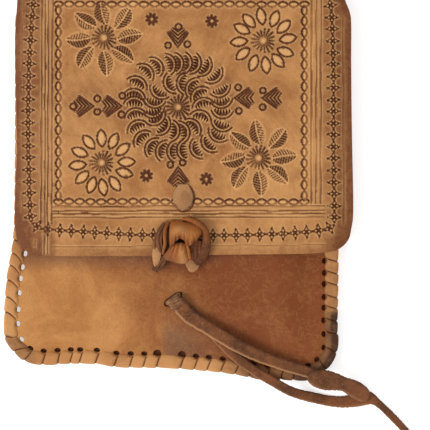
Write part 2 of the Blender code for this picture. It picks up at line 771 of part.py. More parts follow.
def make_panel(name, height, top, parts, material, fold=False):
    """A laced panel as one thick sheet. The back one goes on round the fold."""
    bm = upward(body_surface(height, top))
    if fold:
        edges = [e for e in bm.edges if all(abs(v.co.y - ROUND_Y) < SEAT_GAP for v in e.verts)]
        turned = bmesh.ops.spin(bm, geom=edges, cent=(0, ROUND_Y, FOLD_RADIUS), axis=(1, 0, 0), angle=math.pi,
                                steps=FOLD_STEPS)
        ends = [e for e in turned["geom_last"] if isinstance(e, bmesh.types.BMEdge)]
        land = bmesh.ops.extrude_edge_only(bm, edges=ends)
        land_verts = [v for v in land["geom"] if isinstance(v, bmesh.types.BMVert)]
        bmesh.ops.translate(bm, vec=(0, -FOLD_LAND, 0), verts=land_verts)
        upward(bm)
    mesh = bpy.data.meshes.new(name)
    bm.to_mesh(mesh)
    bm.free()
    panel = add_object(name, mesh, parts, material)
    solidify(panel, LEATHER, 1.0)
    return panel


def main():
    clear_scene()
    parts = new_collection("Handbag")
    cutters = new_collection("Cutters")
    tan = leather("Tan tooled leather", (0.50, 0.25, 0.11), 0.50)
    brown = leather("Brown leather", (0.36, 0.16, 0.06), 0.50)
    pale_lace = leather("Pale lace", (0.52, 0.28, 0.13), 0.60)
    dark_lace = leather("Dark lace", (0.22, 0.11, 0.06), 0.70)
    suede = leather("Suede thong", (0.20, 0.10, 0.06), 0.90)
    rolled = leather("Rolled leather", (0.42, 0.17, 0.05), 0.45)

    lace_holes = hole_cutter(cutters)
    back = make_panel("back_panel", back_bottom, ROUND_Y, parts, brown, fold=True)
    boolean(back, "DIFFERENCE", lace_holes)
    front = make_panel("front_panel", front_bottom, MOUTH_Y, parts, brown)
    boolean(front, "DIFFERENCE", lace_holes)
    loop_slit = ("Cutter_loop_slit", EXIT_X, EXIT_Y, BUMP_WIDTH, BUMP_LENGTH, EXIT_TURN)
    boolean(front, "DIFFERENCE", slit_cutter(*loop_slit, cutters))
    make_laces(parts, {"lace_left": pale_lace, "lace_bottom": dark_lace, "lace_right": pale_lace})

    hinge = add_object("flap_hinge", None, parts)
    hinge.location = (0.0, HINGE_Y, FLAP_TOP + HINGE_RISE)
    hang_on(hinge, make_flap(parts, cutters, tan))
    hang_on(hinge, make_toggle_thong(parts, suede))
    hang_on(hinge, make_knot(parts, cutters, rolled))

    make_anchor(parts, cutters, suede)
    thong("loop_strand_upper", UPPER_ROUTE, STRAND_THICKNESS, parts, suede)
    thong("loop_strand_lower", LOWER_ROUTE, STRAND_THICKNESS, parts, suede)
    thong("loop_keeper", KEEPER_ROUTE, KEEPER_THICKNESS, parts, suede)


main()
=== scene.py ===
from math import atan2, cos, hypot, pi, radians, sin

import bpy
import numpy as np
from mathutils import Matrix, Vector
from mathutils.geometry import delaunay_2d_cdt


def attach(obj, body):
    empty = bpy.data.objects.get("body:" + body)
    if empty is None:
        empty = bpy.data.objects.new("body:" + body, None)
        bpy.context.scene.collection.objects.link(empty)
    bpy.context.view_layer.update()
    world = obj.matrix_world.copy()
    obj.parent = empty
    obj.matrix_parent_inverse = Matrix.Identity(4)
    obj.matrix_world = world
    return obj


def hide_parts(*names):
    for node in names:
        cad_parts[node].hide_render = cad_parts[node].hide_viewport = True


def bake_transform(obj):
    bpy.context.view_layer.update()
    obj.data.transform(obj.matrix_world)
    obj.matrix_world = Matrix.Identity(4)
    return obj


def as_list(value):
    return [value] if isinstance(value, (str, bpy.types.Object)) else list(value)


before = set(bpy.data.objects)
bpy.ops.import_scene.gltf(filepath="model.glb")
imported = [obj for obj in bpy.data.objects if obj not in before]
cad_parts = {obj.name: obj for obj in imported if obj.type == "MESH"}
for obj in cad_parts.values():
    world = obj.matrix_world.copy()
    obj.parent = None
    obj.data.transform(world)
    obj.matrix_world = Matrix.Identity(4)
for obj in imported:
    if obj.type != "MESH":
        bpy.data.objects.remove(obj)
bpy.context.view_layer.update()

# Everything below is laid out in millimetres in the frame of the CAD model, and made in metres
MM = 0.001
CHANCE = np.random.default_rng(7)

# Sizes that the CAD model has too
LEATHER = 2.2
FRONT_LEVEL = 10.2
FLAP_TOP = 16.6
FOLD_RADIUS = 8.3
ROUND_Y = 134.7
MOUTH_Y = 108.2
SEAM_LIFT = 4.0
SEAM_BAND = 12.0
SLOPE_RUN = 30.0
LIFT_RUN = 60.0
SEAT_GAP = 0.3
FLAP_DROOP = 3.2
DROOP_RUN = 24.0
WAIST_RUN = 50.0
FLAP_SIDES = (-108.5, 115.2)
FLAP_ROOT_Y = 132.4
TOGGLE = (2.0, -52.5)
TAB_TOP_Y = -12.5
LOOP_EXIT = (-3.6, -87.0)
LOOP_TURN = radians(37)
LOOP_SLIT_HALF = (7.0, 2.3)
BODY_EDGE_PROUD = 1.6
EDGE_ROUND = 0.6

# The visible outline of the laced body, from the right of the mouth down and round to the left
BODY_LINE = [
    (107.9, 134.7), (107.2, 60.0), (106.2, -20.0), (105.6, -55.1), (105.6, -70.3), (105.1, -104.0),
    (105.6, -112.9), (104.7, -121.9), (98.3, -133.2), (86.1, -140.3), (69.0, -140.3), (53.8, -140.0),
    (41.9, -137.6), (24.1, -135.0), (-4.6, -132.7), (-22.8, -132.3), (-40.9, -131.9), (-52.6, -130.0),
    (-72.5, -129.6), (-87.9, -130.5), (-99.7, -128.7), (-106.9, -123.8), (-112.4, -117.2), (-114.8, -112.9),
    (-115.3, -104.0), (-115.1, -94.1), (-113.7, -74.9), (-112.4, -65.7), (-110.1, -53.1), (-108.8, -38.6),
    (-108.2, 0.0), (-108.0, 60.0), (-107.9, 134.7),
]

# The flap's edge, from the left of the fold down and round to the right, with y as the length of the leather
FLAP_LINE = [
    (-106.2, 132.4), (-106.6, 110.6), (-108.2, 84.2), (-107.6, 44.6), (-106.9, 11.6), (-108.0, -8.3),
    (-108.4, -31.4), (-108.2, -39.9), (-105.9, -49.8), (-99.3, -55.8), (-88.1, -58.4), (-40.0, -58.6),
    (0.0, -58.2), (40.0, -57.6), (80.2, -57.1), (96.0, -56.2), (105.9, -53.8), (112.3, -47.7), (114.6, -38.6),
    (115.5, -31.4), (115.5, -16.2), (114.6, 29.4), (114.2, 69.6), (114.2, 94.1), (113.2, 102.6),
    (110.1, 110.6), (107.3, 122.0), (106.2, 132.4),
]

# The lacing holes that the photograph shows
RIGHT_HOLES = (-61.7, -69.8, -77.1, -85.7, -92.8, -101.2, -110.3, -119.2)
BOTTOM_HOLES = (
    91.8, 85.7, 76.9, 68.3, 59.0, 49.3, 39.3, 29.4, 20.1, 11.5, 2.2, -14.2, -22.8, -31.8, -41.3, -54.2,
    -65.3, -71.5, -80.3, -89.5, -98.3,
)
LEFT_HOLES = (-113.9, -103.5, -94.0, -83.0, -73.5, -66.0, -57.0)
LACE_PITCH = 9.3
LARGE_HOLES = {2.2: 1.9, -14.2: 2.0}
HOLE_INSET = 8.0
HOLE_HALF_LENGTH = 1.9
HOLE_HALF_WIDTH = 1.35
# Behind the lace the holes are pulled outwards and nearly closed, but not left of this place
OPEN_HOLES_X = -104.0
CLOSED_SHIFT = 1.4
CLOSED_HALF = (0.65, 1.2)
RIGHT_SPLICE_Y = -95.4
LEFT_SPLICE_X = -96.0

# The loose strands and their paddle, as in the CAD model: x, y, the height of the middle, and the width
UPPER_ROUTE = [
    (-1.0, -88.2, 16.3, 9.6), (4.0, -95.2, 16.3, 9.8), (10.5, -100.6, 16.3, 9.4),
    (17.8, -105.0, 16.3, 9.0), (26.0, -110.0, 16.3, 9.0), (35.0, -115.5, 16.3, 8.8),
    (42.7, -119.6, 16.2, 8.6), (50.0, -123.1, 15.2, 8.3), (59.0, -126.8, 13.9, 8.0),
    (70.5, -130.8, 13.1, 7.6), (80.0, -133.7, 12.9, 7.3), (89.0, -136.5, 12.6, 7.0),
    (97.0, -139.2, 11.9, 6.4), (104.0, -141.5, 9.6, 6.0), (109.5, -143.6, 7.0, 5.6),
]
LOWER_ROUTE = [
    (0.1, -87.1, 13.8, 6.2), (6.5, -93.2, 13.8, 6.2), (12.2, -98.8, 13.8, 6.4), (17.6, -104.4, 13.8, 6.4),
    (23.2, -110.4, 13.8, 6.4), (28.8, -116.4, 13.7, 6.4), (34.5, -122.1, 13.5, 6.4),
    (40.6, -127.5, 13.2, 6.4), (47.0, -132.2, 12.9, 6.4), (54.5, -137.0, 12.7, 6.4),
    (62.0, -141.3, 12.6, 6.4), (68.0, -144.8, 12.2, 6.4), (73.5, -147.8, 9.8, 6.4),
    (80.0, -150.4, 6.0, 6.6), (90.0, -153.0, 2.4, 7.0), (101.0, -155.3, 1.2, 7.2),
    (111.0, -155.8, 1.2, 8.0), (120.0, -153.8, 1.2, 10.4), (127.0, -153.5, 1.2, 8.6),
    (133.0, -157.0, 1.2, 5.2), (142.0, -165.5, 1.2, 5.0), (150.0, -174.0, 1.2, 4.8),
    (157.0, -182.5, 1.2, 4.6), (162.0, -190.0, 1.2, 4.0),
]
KEEPER_SHAPE = [
    (87.2, -137.6, 14.0, 5.6), (88.8, -138.6, 15.2, 9.4), (92.4, -139.6, 15.8, 12.0),
    (97.5, -140.5, 15.3, 13.2), (104.0, -141.8, 13.3, 11.4), (109.5, -143.4, 10.8, 9.6),
    (114.0, -145.4, 8.4, 10.6), (118.5, -148.0, 6.2, 11.4), (122.8, -150.8, 4.6, 10.0),
    (125.8, -153.0, 3.6, 5.6),
]
STRAND_ROUGH = 0.045

# The camera looks straight down at a square of the flap's height
VIEW_CENTRE = (24.09, -31.35)
VIEW_SIDE = 283.8
VIEW_DISTANCE = 1600.0
# The lacing lies lower than the flap, so it is this much wider than it looks at the flap's height
EDGE_SPREAD = 1.0065
SENSOR = 36.0
GAP_CHUNK = 4000

# Colours as seen on a screen: worn edges and painted highlights, dye in grooves and painted shade, the two of
# the flesh side, and dirt and painted shade on suede
RUBBED_AND_LIT = (230, 176, 116)
DYED_AND_SHADED = (82, 37, 8)
FLESH = ((140, 96, 60), (112, 74, 45))
SUEDE_DIRT_AND_SHADE = (62, 34, 18)
WHITE = (1.0, 1.0, 1.0, 1.0)
# In metres
GRAIN_DEPTH = 0.00018
NAP_DEPTH = 0.0007


def smooth(value):
    """0 to 1 with a soft start and end."""
    value = np.clip(value, 0.0, 1.0)
    return value * value * (3 - 2 * value)


def run_along(line):
    """How far along a line of the plan each of its points is."""
    return np.concatenate([[0.0], np.cumsum(np.linalg.norm(np.diff(line[:, :2], axis=0), axis=1))])


def unit(rows):
    """The rows as vectors of length 1."""
    return rows / np.linalg.norm(rows, axis=1)[:, None]


def spaced(line, step):
    """The same line with points evenly this far apart in the plan."""
    run = run_along(line)
    count = max(int(round(run[-1] / step)), 2)
    at = np.linspace(0.0, run[-1], count + 1)
    return np.stack([np.interp(at, run, column) for column in line.T], 1)


def curve_through(points, step):
    """Evenly spaced points of a smooth curve through the given rows."""
    rows = np.array(points, float)
    ends = np.vstack([2 * rows[0] - rows[1], rows, 2 * rows[-1] - rows[-2]])
    fine = []
    for i in range(1, len(rows)):
        a, b, c, d = ends[i - 1:i + 3]
        for t in np.linspace(0.0, 1.0, 16, endpoint=False):
            fine.append(b + 0.5 * t * (c - a + t * (2 * a - 5 * b + 4 * c - d + t * (3 * (b - c) + d - a))))
    return spaced(np.array([*fine, rows[-1]]), step)


def directions(line):
    """Unit directions along a line of the plan."""
    return unit(np.gradient(line[:, :2], axis=0))


def ripple(x, y, seed=0.0):
    """Gentle unevenness of hand-worked leather, within about 1."""
    a = np.sin(x / 23.0 + 1.3 + seed) * np.cos(y / 31.0 - 0.4 + seed)
    b = np.sin((x + y) / 17.0 + 2.1 * seed) * np.sin((x - 0.6 * y) / 27.0 + 0.9)
    return 0.6 * a + 0.4 * b


# The panels' edge: the visible outline without the thickness of the lace
visible_edge = curve_through((np.array(BODY_LINE) - VIEW_CENTRE) * EDGE_SPREAD + VIEW_CENTRE, 0.5)
along_edge = directions(visible_edge)
edge_out = np.stack([-along_edge[:, 1], along_edge[:, 0]], 1)
panel_edge = visible_edge - edge_out * BODY_EDGE_PROUD
edge_run = run_along(panel_edge)


def at_edge(run, out):
    """Points of the plan this far along the panels' edge and this far out of it."""
    run = np.asarray(run, float)
    x, y, nx, ny = (np.interp(run, edge_run, c) for c in (*panel_edge.T, *edge_out.T))
    size = np.hypot(nx, ny)
    return np.stack([x + nx / size * out, y + ny / size * out], -1)


def gap_to(line, points):
    """How far points of the plan lie from the nearest point of a line."""
    made = np.empty(len(points))
    for start in range(0, len(points), GAP_CHUNK):
        gap = points[start:start + GAP_CHUNK, None] - line[None]
        made[start:start + GAP_CHUNK] = np.sqrt((gap ** 2).sum(2).min(1))
    return made


def inset_of(points):
    """How far points of the plan lie in from the panels' edge."""
    return gap_to(panel_edge[::3], points)


def seam_lift(y):
    return SEAM_LIFT * np.clip((ROUND_Y - y) / LIFT_RUN, 0.0, 1.0)


def slope_share(points):
    return smooth((inset_of(points) - SEAM_BAND) / SLOPE_RUN)


def back_floor(points):
    return seam_lift(points[:, 1]) * (1 - slope_share(points))


def front_floor(points):
    share = slope_share(points)
    low = seam_lift(points[:, 1]) + LEATHER + SEAT_GAP
    wave = 0.35 * ripple(points[:, 0], points[:, 1], 2.0) * share
    return low * (1 - share) + FRONT_LEVEL * share + wave


def flap_roof(points):
    """The flap's top without its tooling. It droops at both sides."""
    x, y = points[:, 0], points[:, 1]
    over = np.maximum(FLAP_SIDES[0] + DROOP_RUN - x, x - FLAP_SIDES[1] + DROOP_RUN) / DROOP_RUN
    calm = np.clip((FLAP_ROOT_Y - y) / WAIST_RUN, 0.0, 1.0)
    return FLAP_TOP - FLAP_DROOP * np.clip(over, 0.0, 1.2) ** 1.6 * calm + 0.22 * ripple(x, y, 5.0) * calm


def bend_round_fold(places):
    """Takes the flat leather above ROUND_Y round the half turn of the fold."""
    x, y, z = places.T
    turn = np.clip(y - ROUND_Y, 0.0, None) / FOLD_RADIUS
    radius = FOLD_RADIUS + z - FLAP_TOP
    over = y > ROUND_Y
    made_y = np.where(over, ROUND_Y + radius * np.sin(turn), y)
    made_z = np.where(over, FOLD_RADIUS + radius * np.cos(turn), z)
    return np.stack([x, made_y, made_z], 1)


# Meshes

def make_object(name, places, faces, **attributes):
    """A smooth mesh object from millimetres, with numbers at its points."""
    mesh = bpy.data.meshes.new(name)
    mesh.from_pydata((np.asarray(places) * MM).tolist(), [], faces)
    mesh.polygons.foreach_set("use_smooth", [True] * len(mesh.polygons))
    for key, values in attributes.items():
        made = mesh.attributes.new(key, "FLOAT", "POINT")
        made.data.foreach_set("value", np.array(np.broadcast_to(values, len(places)), np.float32))
    mesh.update()
    obj = bpy.data.objects.new(name, mesh)
    bpy.context.scene.collection.objects.link(obj)
    return obj


def dressed(obj, hide, body, *nodes):
    """Gives a piece its material, the body that it rides on and the solids that it stands for."""
    material, slot_name = hide
    obj.data.materials.append(material)
    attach(obj, body)
    if nodes:
        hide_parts(*nodes)
    return obj


def ring_faces(first, second, size):
    """Faces between two closed rows of points."""
    return [(first + i, second + i, second + (i + 1) % size, first + (i + 1) % size) for i in range(size)]


def tube_faces(rows, size, flip=False):
    """Faces of a closed tube through rows of points, turned inside out with flip."""
    walls = [face for i in range(rows - 1) for face in ring_faces(i * size, (i + 1) * size, size)]
    caps = [tuple(range(size)), tuple(range(rows * size - 1, (rows - 1) * size - 1, -1))]
    if flip:
        walls = [face[:1] + face[:0:-1] for face in walls]
        caps = [face[::-1] for face in caps]
    return walls + caps


def outside_normals(loop):
    """Unit normals to the right of a closed line's way."""
    ahead = unit(np.roll(loop, -1, 0) - np.roll(loop, 1, 0))
    return np.stack([ahead[:, 1], -ahead[:, 0]], 1)


def inside(points, loop):
    """Which points lie inside a closed line."""
    x, y = points[:, 0][:, None], points[:, 1][:, None]
    ax, ay = loop[:, 0][None], loop[:, 1][None]
    bx, by = np.roll(loop[:, 0], -1)[None], np.roll(loop[:, 1], -1)[None]
    crosses = (ay > y) != (by > y)
    height = np.where(by == ay, 1.0, by - ay)
    at = ax + (y - ay) / height * (bx - ax)
    return (crosses & (x < at)).sum(1) % 2 == 1


def clear_of_loops(points, loops, margin):
    """Those points that lie inside the first line, outside the others, and this far from them all."""
    keep = inside(points, loops[0])
    for loop in loops[1:]:
        near = ((points > loop.min(0) - margin) & (points < loop.max(0) + margin)).all(1)
        if near.any():
            keep[near] &= ~inside(points[near], loop) & (gap_to(loop, points[near]) > margin)
    return points[keep & (gap_to(loops[0][::2], points) > margin)]


def triangles(loops, inner):
    """Triangles between closed lines and the points inside them."""
    points = np.concatenate([*loops, inner])
    edges = []
    start = 0
    for loop in loops:
        count = len(loop)
        edges += [(start + i, start + (i + 1) % count) for i in range(count)]
        start += count
    made = delaunay_2d_cdt([Vector(p) for p in points.tolist()], edges, [], 0, 1e-7)
    if len(made[0]) != len(points):
        raise ValueError("two points of a sheet are in one place")
    faces = np.array(made[2])
    on_lines = (faces < start).all(1)
    middles = points[faces[on_lines]].mean(1)
    keep = inside(middles, loops[0])
    for loop in loops[1:]:
        keep &= ~inside(middles, loop)
    flags = np.ones(len(faces), bool)
    flags[on_lines] = keep
    return points, faces[flags]


# The rounded edge of a cut sheet: how far out, in edge radii, and how far down, as a share of the leather
EDGE_PROFILE = [
    (0.0, 0.0), (0.5, 0.04), (0.87, 0.13), (1.0, 0.27), (1.0, 0.73), (0.87, 0.87), (0.5, 0.96), (0.0, 1.0),
]


def leather_sheet(name, loops, points, roof, floor, marks, shape=None):
    """A closed sheet of leather: its cut edges, and its upper and lower face with the points of each.

    The first line is the outer edge, to the left of which the leather lies. The others are its holes.
    """
    cut = [loop - outside_normals(loop) * EDGE_ROUND for loop in loops]
    (top, top_faces), (under, under_faces) = (triangles(cut, inner) for inner in points)
    ring = np.concatenate(cut)
    out = np.concatenate([outside_normals(loop) for loop in loops])
    count = len(ring)
    high, low = roof(ring), floor(ring)
    plans, heights, shares = [top], [roof(top)], [np.zeros(len(top))]
    for reach, share in EDGE_PROFILE[1:]:
        plans.append(ring + out * EDGE_ROUND * reach)
        heights.append(high * (1 - share) + low * share)
        shares.append(np.full(count, share))
    plans.append(under[count:])
    heights.append(floor(under[count:]))
    shares.append(np.ones(len(under) - count))
    places = np.column_stack([np.concatenate(plans), np.concatenate(heights)])
    shares = np.concatenate(shares)
    faces = top_faces.tolist()
    starts = [0] + [len(top) + count * i for i in range(len(EDGE_PROFILE) - 1)]
    for above, below in zip(starts, starts[1:]):
        first = 0
        for loop in cut:
            faces += ring_faces(above + first, below + first, len(loop))
            first += len(loop)
    faces += [tuple(v + starts[-1] for v in reversed(face)) for face in under_faces.tolist()]
    attributes = marks(places[:, :2], shares)
    return make_object(name, shape(places) if shape else places, faces, under=shares, **attributes)


def jittered(low, high, step):
    """A grid of points with small random shifts."""
    xs = np.arange(low[0], high[0], step)
    ys = np.arange(low[1], high[1], step)
    grid = np.stack(np.meshgrid(xs, ys), -1).reshape(-1, 2)
    return grid + CHANCE.uniform(-0.22, 0.22, grid.shape) * step


def shell(name, grid, thickness, **attributes):
    """A closed sheet along a grid of points, rows by columns, with its thickness below them."""
    rows, columns = grid.shape[:2]
    normal = np.cross(np.gradient(grid, axis=0), np.gradient(grid, axis=1))
    normal /= np.maximum(np.linalg.norm(normal, axis=2), 1e-9)[:, :, None]
    places = np.concatenate([grid.reshape(-1, 3), (grid - normal * thickness).reshape(-1, 3)])
    size = rows * columns
    faces = []
    for a in (i * columns + j for i in range(rows - 1) for j in range(columns - 1)):
        faces.append((a, a + columns, a + columns + 1, a + 1))
        faces.append((a + size, a + size + 1, a + size + columns + 1, a + size + columns))
    rim = list(range(columns)) + [(i + 1) * columns - 1 for i in range(1, rows)]
    rim += [(rows - 1) * columns + j for j in range(columns - 2, -1, -1)]
    rim += [i * columns for i in range(rows - 2, 0, -1)]
    faces += [(a, b, b + size, a + size) for a, b in zip(rim, rim[1:] + rim[:1])]
    doubled = {key: np.tile(np.broadcast_to(v, (rows, columns)).ravel(), 2) for key, v in attributes.items()}
    return make_object(name, places, faces, under=0.0, **doubled)


# A strap's cross-section, counter-clockwise from its right: across, and up, both from -1 to 1
STRAP_SECTION = [
    (1.0, -0.35), (1.0, 0.35), (0.88, 0.82), (0.6, 0.98), (0.2, 1.0), (-0.2, 1.0), (-0.6, 0.98),
    (-0.88, 0.82), (-1.0, 0.35), (-1.0, -0.35), (-0.88, -0.82), (-0.6, -0.98), (-0.2, -1.0), (0.2, -1.0),
    (0.6, -0.98), (0.88, -0.82),
]


def strap(name, middles, sides, ups, cut=0.0, dye=0.0):
    """A closed strap through these middles, each with half its width and thickness as vectors."""
    section = np.array(STRAP_SECTION)
    middles, sides, ups = (np.asarray(v, float) for v in (middles, sides, ups))
    places = middles[:, None] + sides[:, None] * section[None, :, :1] + ups[:, None] * section[None, :, 1:]
    return make_object(name, places.reshape(-1, 3), tube_faces(len(middles), len(section)), cut=cut, dye=dye)


# Materials

def tint(colour):
    """A colour as seen on a screen, 0 to 255."""
    shares = [value / 255 for value in colour]
    return (*(s / 12.92 if s <= 0.04045 else ((s + 0.055) / 1.055) ** 2.4 for s in shares), 1.0)


def node(tree, kind, inputs=None, **settings):
    made = tree.nodes.new(kind)
    for key, value in settings.items():
        setattr(made, key, value)
    for key, value in (inputs or {}).items():
        if isinstance(value, bpy.types.NodeSocket):
            tree.links.new(value, made.inputs[key])
        else:
            made.inputs[key].default_value = value
    return made


def noise(tree, place, scale, detail=4.0, roughness=0.55, distortion=0.0):
    names = ("Vector", "Scale", "Detail", "Roughness", "Distortion")
    values = (place, scale, detail, roughness, distortion)
    return node(tree, "ShaderNodeTexNoise", dict(zip(names, values))).outputs["Fac"]


def remap(tree, value, low, high, to_low=0.0, to_high=1.0):
    values = {"Value": value, "From Min": low, "From Max": high, "To Min": to_low, "To Max": to_high}
    made = node(tree, "ShaderNodeMapRange", values, interpolation_type="SMOOTHSTEP")
    return made.outputs["Result"]


def mix(tree, factor, a, b):
    return node(tree, "ShaderNodeMix", {0: factor, 6: a, 7: b}, data_type="RGBA").outputs[2]


def maths(tree, operation, a, b=0.0):
    return node(tree, "ShaderNodeMath", {0: a, 1: b}, operation=operation).outputs[0]


def attribute(tree, name):
    return node(tree, "ShaderNodeAttribute", attribute_name=name).outputs["Fac"]


def new_material(name):
    made = bpy.data.materials.new(name)
    made.use_nodes = True
    tree = made.node_tree
    shader = tree.nodes["Principled BSDF"]
    place = node(tree, "ShaderNodeTexCoord").outputs["Object"]
    return made, tree, shader, place


def finish_material(tree, shader, colour, roughness, relief, distance):
    """Joins colour, roughness and a height to the shader."""
    tree.links.new(colour, shader.inputs["Base Color"])
    tree.links.new(roughness, shader.inputs["Roughness"])
    bump = node(tree, "ShaderNodeBump", {"Height": relief, "Distance": distance, "Strength": 1.0})
    tree.links.new(bump.outputs["Normal"], shader.inputs["Normal"])
    shader.inputs["Specular IOR Level"].default_value = 0.22


def leather_finish(name, colours, grain, vein=0.25):
    """Vegetable-tanned leather: mottled and veined, darker where its tone says so, dyed in its grooves, with
    painted shade and painted highlights where its marks put them.
    """
    pale, middle, deep, stain_and_shade = map(tint, colours)
    made, tree, shader, place = new_material(name)
    clouds = noise(tree, place, 24.0, 6.0, 0.62, 0.9)
    flecks = noise(tree, place, 260.0, 5.0, 0.65, 0.8)
    creases = noise(tree, place, 70.0, 8.0, 0.7, 0.5)
    pores = noise(tree, place, grain, 3.0, 0.6)
    cells = node(tree, "ShaderNodeTexVoronoi", {"Vector": place, "Scale": grain * 0.55}).outputs["Distance"]
    off_crease = maths(tree, "ABSOLUTE", maths(tree, "SUBTRACT", creases, 0.5))
    colour = mix(tree, remap(tree, clouds, 0.32, 0.68), middle, pale)
    deeper = maths(tree, "ADD", attribute(tree, "tone"), remap(tree, clouds, 0.3, 0.7, 0.10, -0.10))
    deeper = maths(tree, "ADD", deeper, remap(tree, flecks, 0.35, 0.75, -0.09, 0.09))
    colour = mix(tree, remap(tree, deeper, 0.0, 1.0), colour, deep)
    # The grey mark mixes towards the fourth colour, which also paints the shadow below the flap
    colour = mix(tree, attribute(tree, "grey"), colour, stain_and_shade)
    veined = remap(tree, off_crease, 0.0, 0.03, vein, 0.0)
    colour = mix(tree, veined, colour, mix(tree, 0.5, colour, pale))
    # Rubbed wear and painted highlights
    colour = mix(tree, attribute(tree, "rub"), colour, tint(RUBBED_AND_LIT))
    # Dye, and painted shade in gaps, creases, holes, the seam and round the tab
    colour = mix(tree, attribute(tree, "dye"), colour, tint(DYED_AND_SHADED))
    flesh = mix(tree, remap(tree, flecks, 0.3, 0.7), *map(tint, FLESH))
    colour = mix(tree, remap(tree, attribute(tree, "under"), 0.2, 0.45), colour, flesh)
    rough = remap(tree, flecks, 0.3, 0.7, 0.46, 0.58)
    rough = maths(tree, "ADD", rough, maths(tree, "MULTIPLY", pores, 0.12))
    relief = maths(tree, "ADD", pores, maths(tree, "MULTIPLY", cells, 0.5))
    relief = maths(tree, "ADD", relief, remap(tree, off_crease, 0.0, 0.05, 0.0, vein * 1.6))
    finish_material(tree, shader, colour, rough, relief, GRAIN_DEPTH)
    return made


def suede_finish(name, colours, nap):
    """Rough split leather with a nap, paler at its cut edges and at painted highlights, and darker with dirt
    and painted shade.
    """
    pale, middle, deep = map(tint, colours)
    made, tree, shader, place = new_material(name)
    clouds = noise(tree, place, 60.0, 4.0, 0.6)
    fibres = noise(tree, place, nap, 6.0, 0.7, 1.2)
    colour = mix(tree, remap(tree, clouds, 0.35, 0.65), middle, deep)
    colour = mix(tree, remap(tree, fibres, 0.45, 0.75, 0.0, 0.4), colour, pale)
    # Pale cut edges, some of them painted highlight
    colour = mix(tree, attribute(tree, "cut"), colour, pale)
    # Dirt, and painted shade along strands and at rims and creases
    colour = mix(tree, attribute(tree, "dye"), colour, tint(SUEDE_DIRT_AND_SHADE))
    finish_material(tree, shader, colour, remap(tree, fibres, 0.3, 0.7, 0.75, 0.95), fibres, NAP_DEPTH)
    shader.inputs["Sheen Weight"].default_value = 0.06
    shader.inputs["Sheen Roughness"].default_value = 0.5
    return made, "suede"


# The camera and the loose cords come first

def make_camera():
    camera = bpy.data.cameras.new("Camera")
    camera.sensor_width = SENSOR
    camera.lens = SENSOR * VIEW_DISTANCE / VIEW_SIDE
    camera.clip_start = 0.05
    camera.clip_end = 20.0
    obj = bpy.data.objects.new("Camera", camera)
    obj.location = (VIEW_CENTRE[0] * MM, VIEW_CENTRE[1] * MM, (FLAP_TOP + VIEW_DISTANCE) * MM)
    bpy.context.scene.collection.objects.link(obj)
    bpy.context.scene.camera = obj


def route_strap(route, thickness):
    """Sections of a flat thong along one of the routes, with a little unevenness at its edges."""
    rows = curve_through(route, 0.8)
    forward = unit(np.gradient(rows[:, :3], axis=0))
    side = unit(np.stack([forward[:, 1], -forward[:, 0], np.zeros(len(rows))], 1))
    half = rows[:, 3] / 2 * (1 + STRAND_ROUGH * CHANCE.uniform(-1.0, 1.0, len(rows)))
    return rows[:, :3], side * half[:, None], np.cross(side, forward) * thickness / 2


def strand_lit_edge_and_shade(sections):
    """A pale cut edge along the right of a strap's way, partly painted highlight as the left edge gets none,
    and a line of painted shade along its left.
    """
    across = np.array([spot[0] for spot in STRAP_SECTION])
    pale, painted_shade = (np.tile(np.clip((turned - 0.6) / 0.28, 0.0, 1.0), sections) for turned in (across, -across))
    return pale, 0.3 * painted_shade


def make_cords(suede):
    strands = {}
    for name, node_name, route, thickness, pale_and_lit_edge in (
        ("strand_upper", "loop_strand_upper", UPPER_ROUTE, 2.3, 0.65),
        ("strand_lower", "loop_strand_lower", LOWER_ROUTE, 2.2, 0.25),
        ("keeper", "loop_keeper", KEEPER_SHAPE, 3.0, 0.15),
    ):
        sections = route_strap(route, thickness)
        # A pale edge that is partly painted highlight, and a line of painted shade
        cut, painted_shade = strand_lit_edge_and_shade(len(sections[0]))
        strands[name] = dressed(strap(name, *sections, cut * pale_and_lit_edge, painted_shade), suede, "bag", node_name)
    for name, route, far_end, width, others in (
        ("strand_upper", UPPER_ROUTE, "knot", 0.0080, [strands["keeper"]]),
        ("strand_lower", LOWER_ROUTE, "bare", 0.0064, []),
    ):
        path = curve_through(route, 2.0)[:, :3] * MM
        way_out = [round(value * MM, 6) for value in route[0][:3]]
        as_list(others)


make_camera()
rough_suede = suede_finish("Suede thong", [(188, 138, 94), (126, 74, 42), (88, 50, 27)], 800.0)
make_cords(rough_suede)


# The tooling of the flap, pressed into a fine grid

CELL = 0.25
GRID_LOW = (-112.0, -62.0)
GRID_SIZE = (920, 790)
# Which shares of the grid get close and fine points, and below which change it counts as plain
CLOSE_SHARE = 0.22
FINE_SHARE = 0.03
PLAIN_SCORE = 0.028


class Tooling:
    """How deep each spot of the flap is pressed, in millimetres, its dye with the painted shadow round the
    tab, and how far it swells.
    """

    def __init__(self):
        self.depth, self.dye, self.swell = np.zeros((3, GRID_SIZE[1], GRID_SIZE[0]), np.float32)

    def near(self, centre, turn, reach):
        """The cells round a spot, with their places in a frame that is turned with the stamp."""
        first = [max(int((centre[i] - reach - GRID_LOW[i]) / CELL), 0) for i in range(2)]
        last = [min(int((centre[i] + reach - GRID_LOW[i]) / CELL) + 1, GRID_SIZE[i]) for i in range(2)]
        x, y = (GRID_LOW[i] + CELL * np.arange(first[i], last[i]) - centre[i] for i in range(2))
        x, y = np.meshgrid(x, y)
        u = x * cos(turn) + y * sin(turn)
        v = y * cos(turn) - x * sin(turn)
        return (slice(first[1], last[1]), slice(first[0], last[0])), u, v

    def press(self, window, force, depth, dye, swell=0.0):
        """Presses a stamp into a window of the grid, where its swell lifts the leather between its cuts."""
        for grid, values in ((self.depth, force * depth), (self.dye, force * dye), (self.swell, swell)):
            grid[window] = np.maximum(grid[window], values)


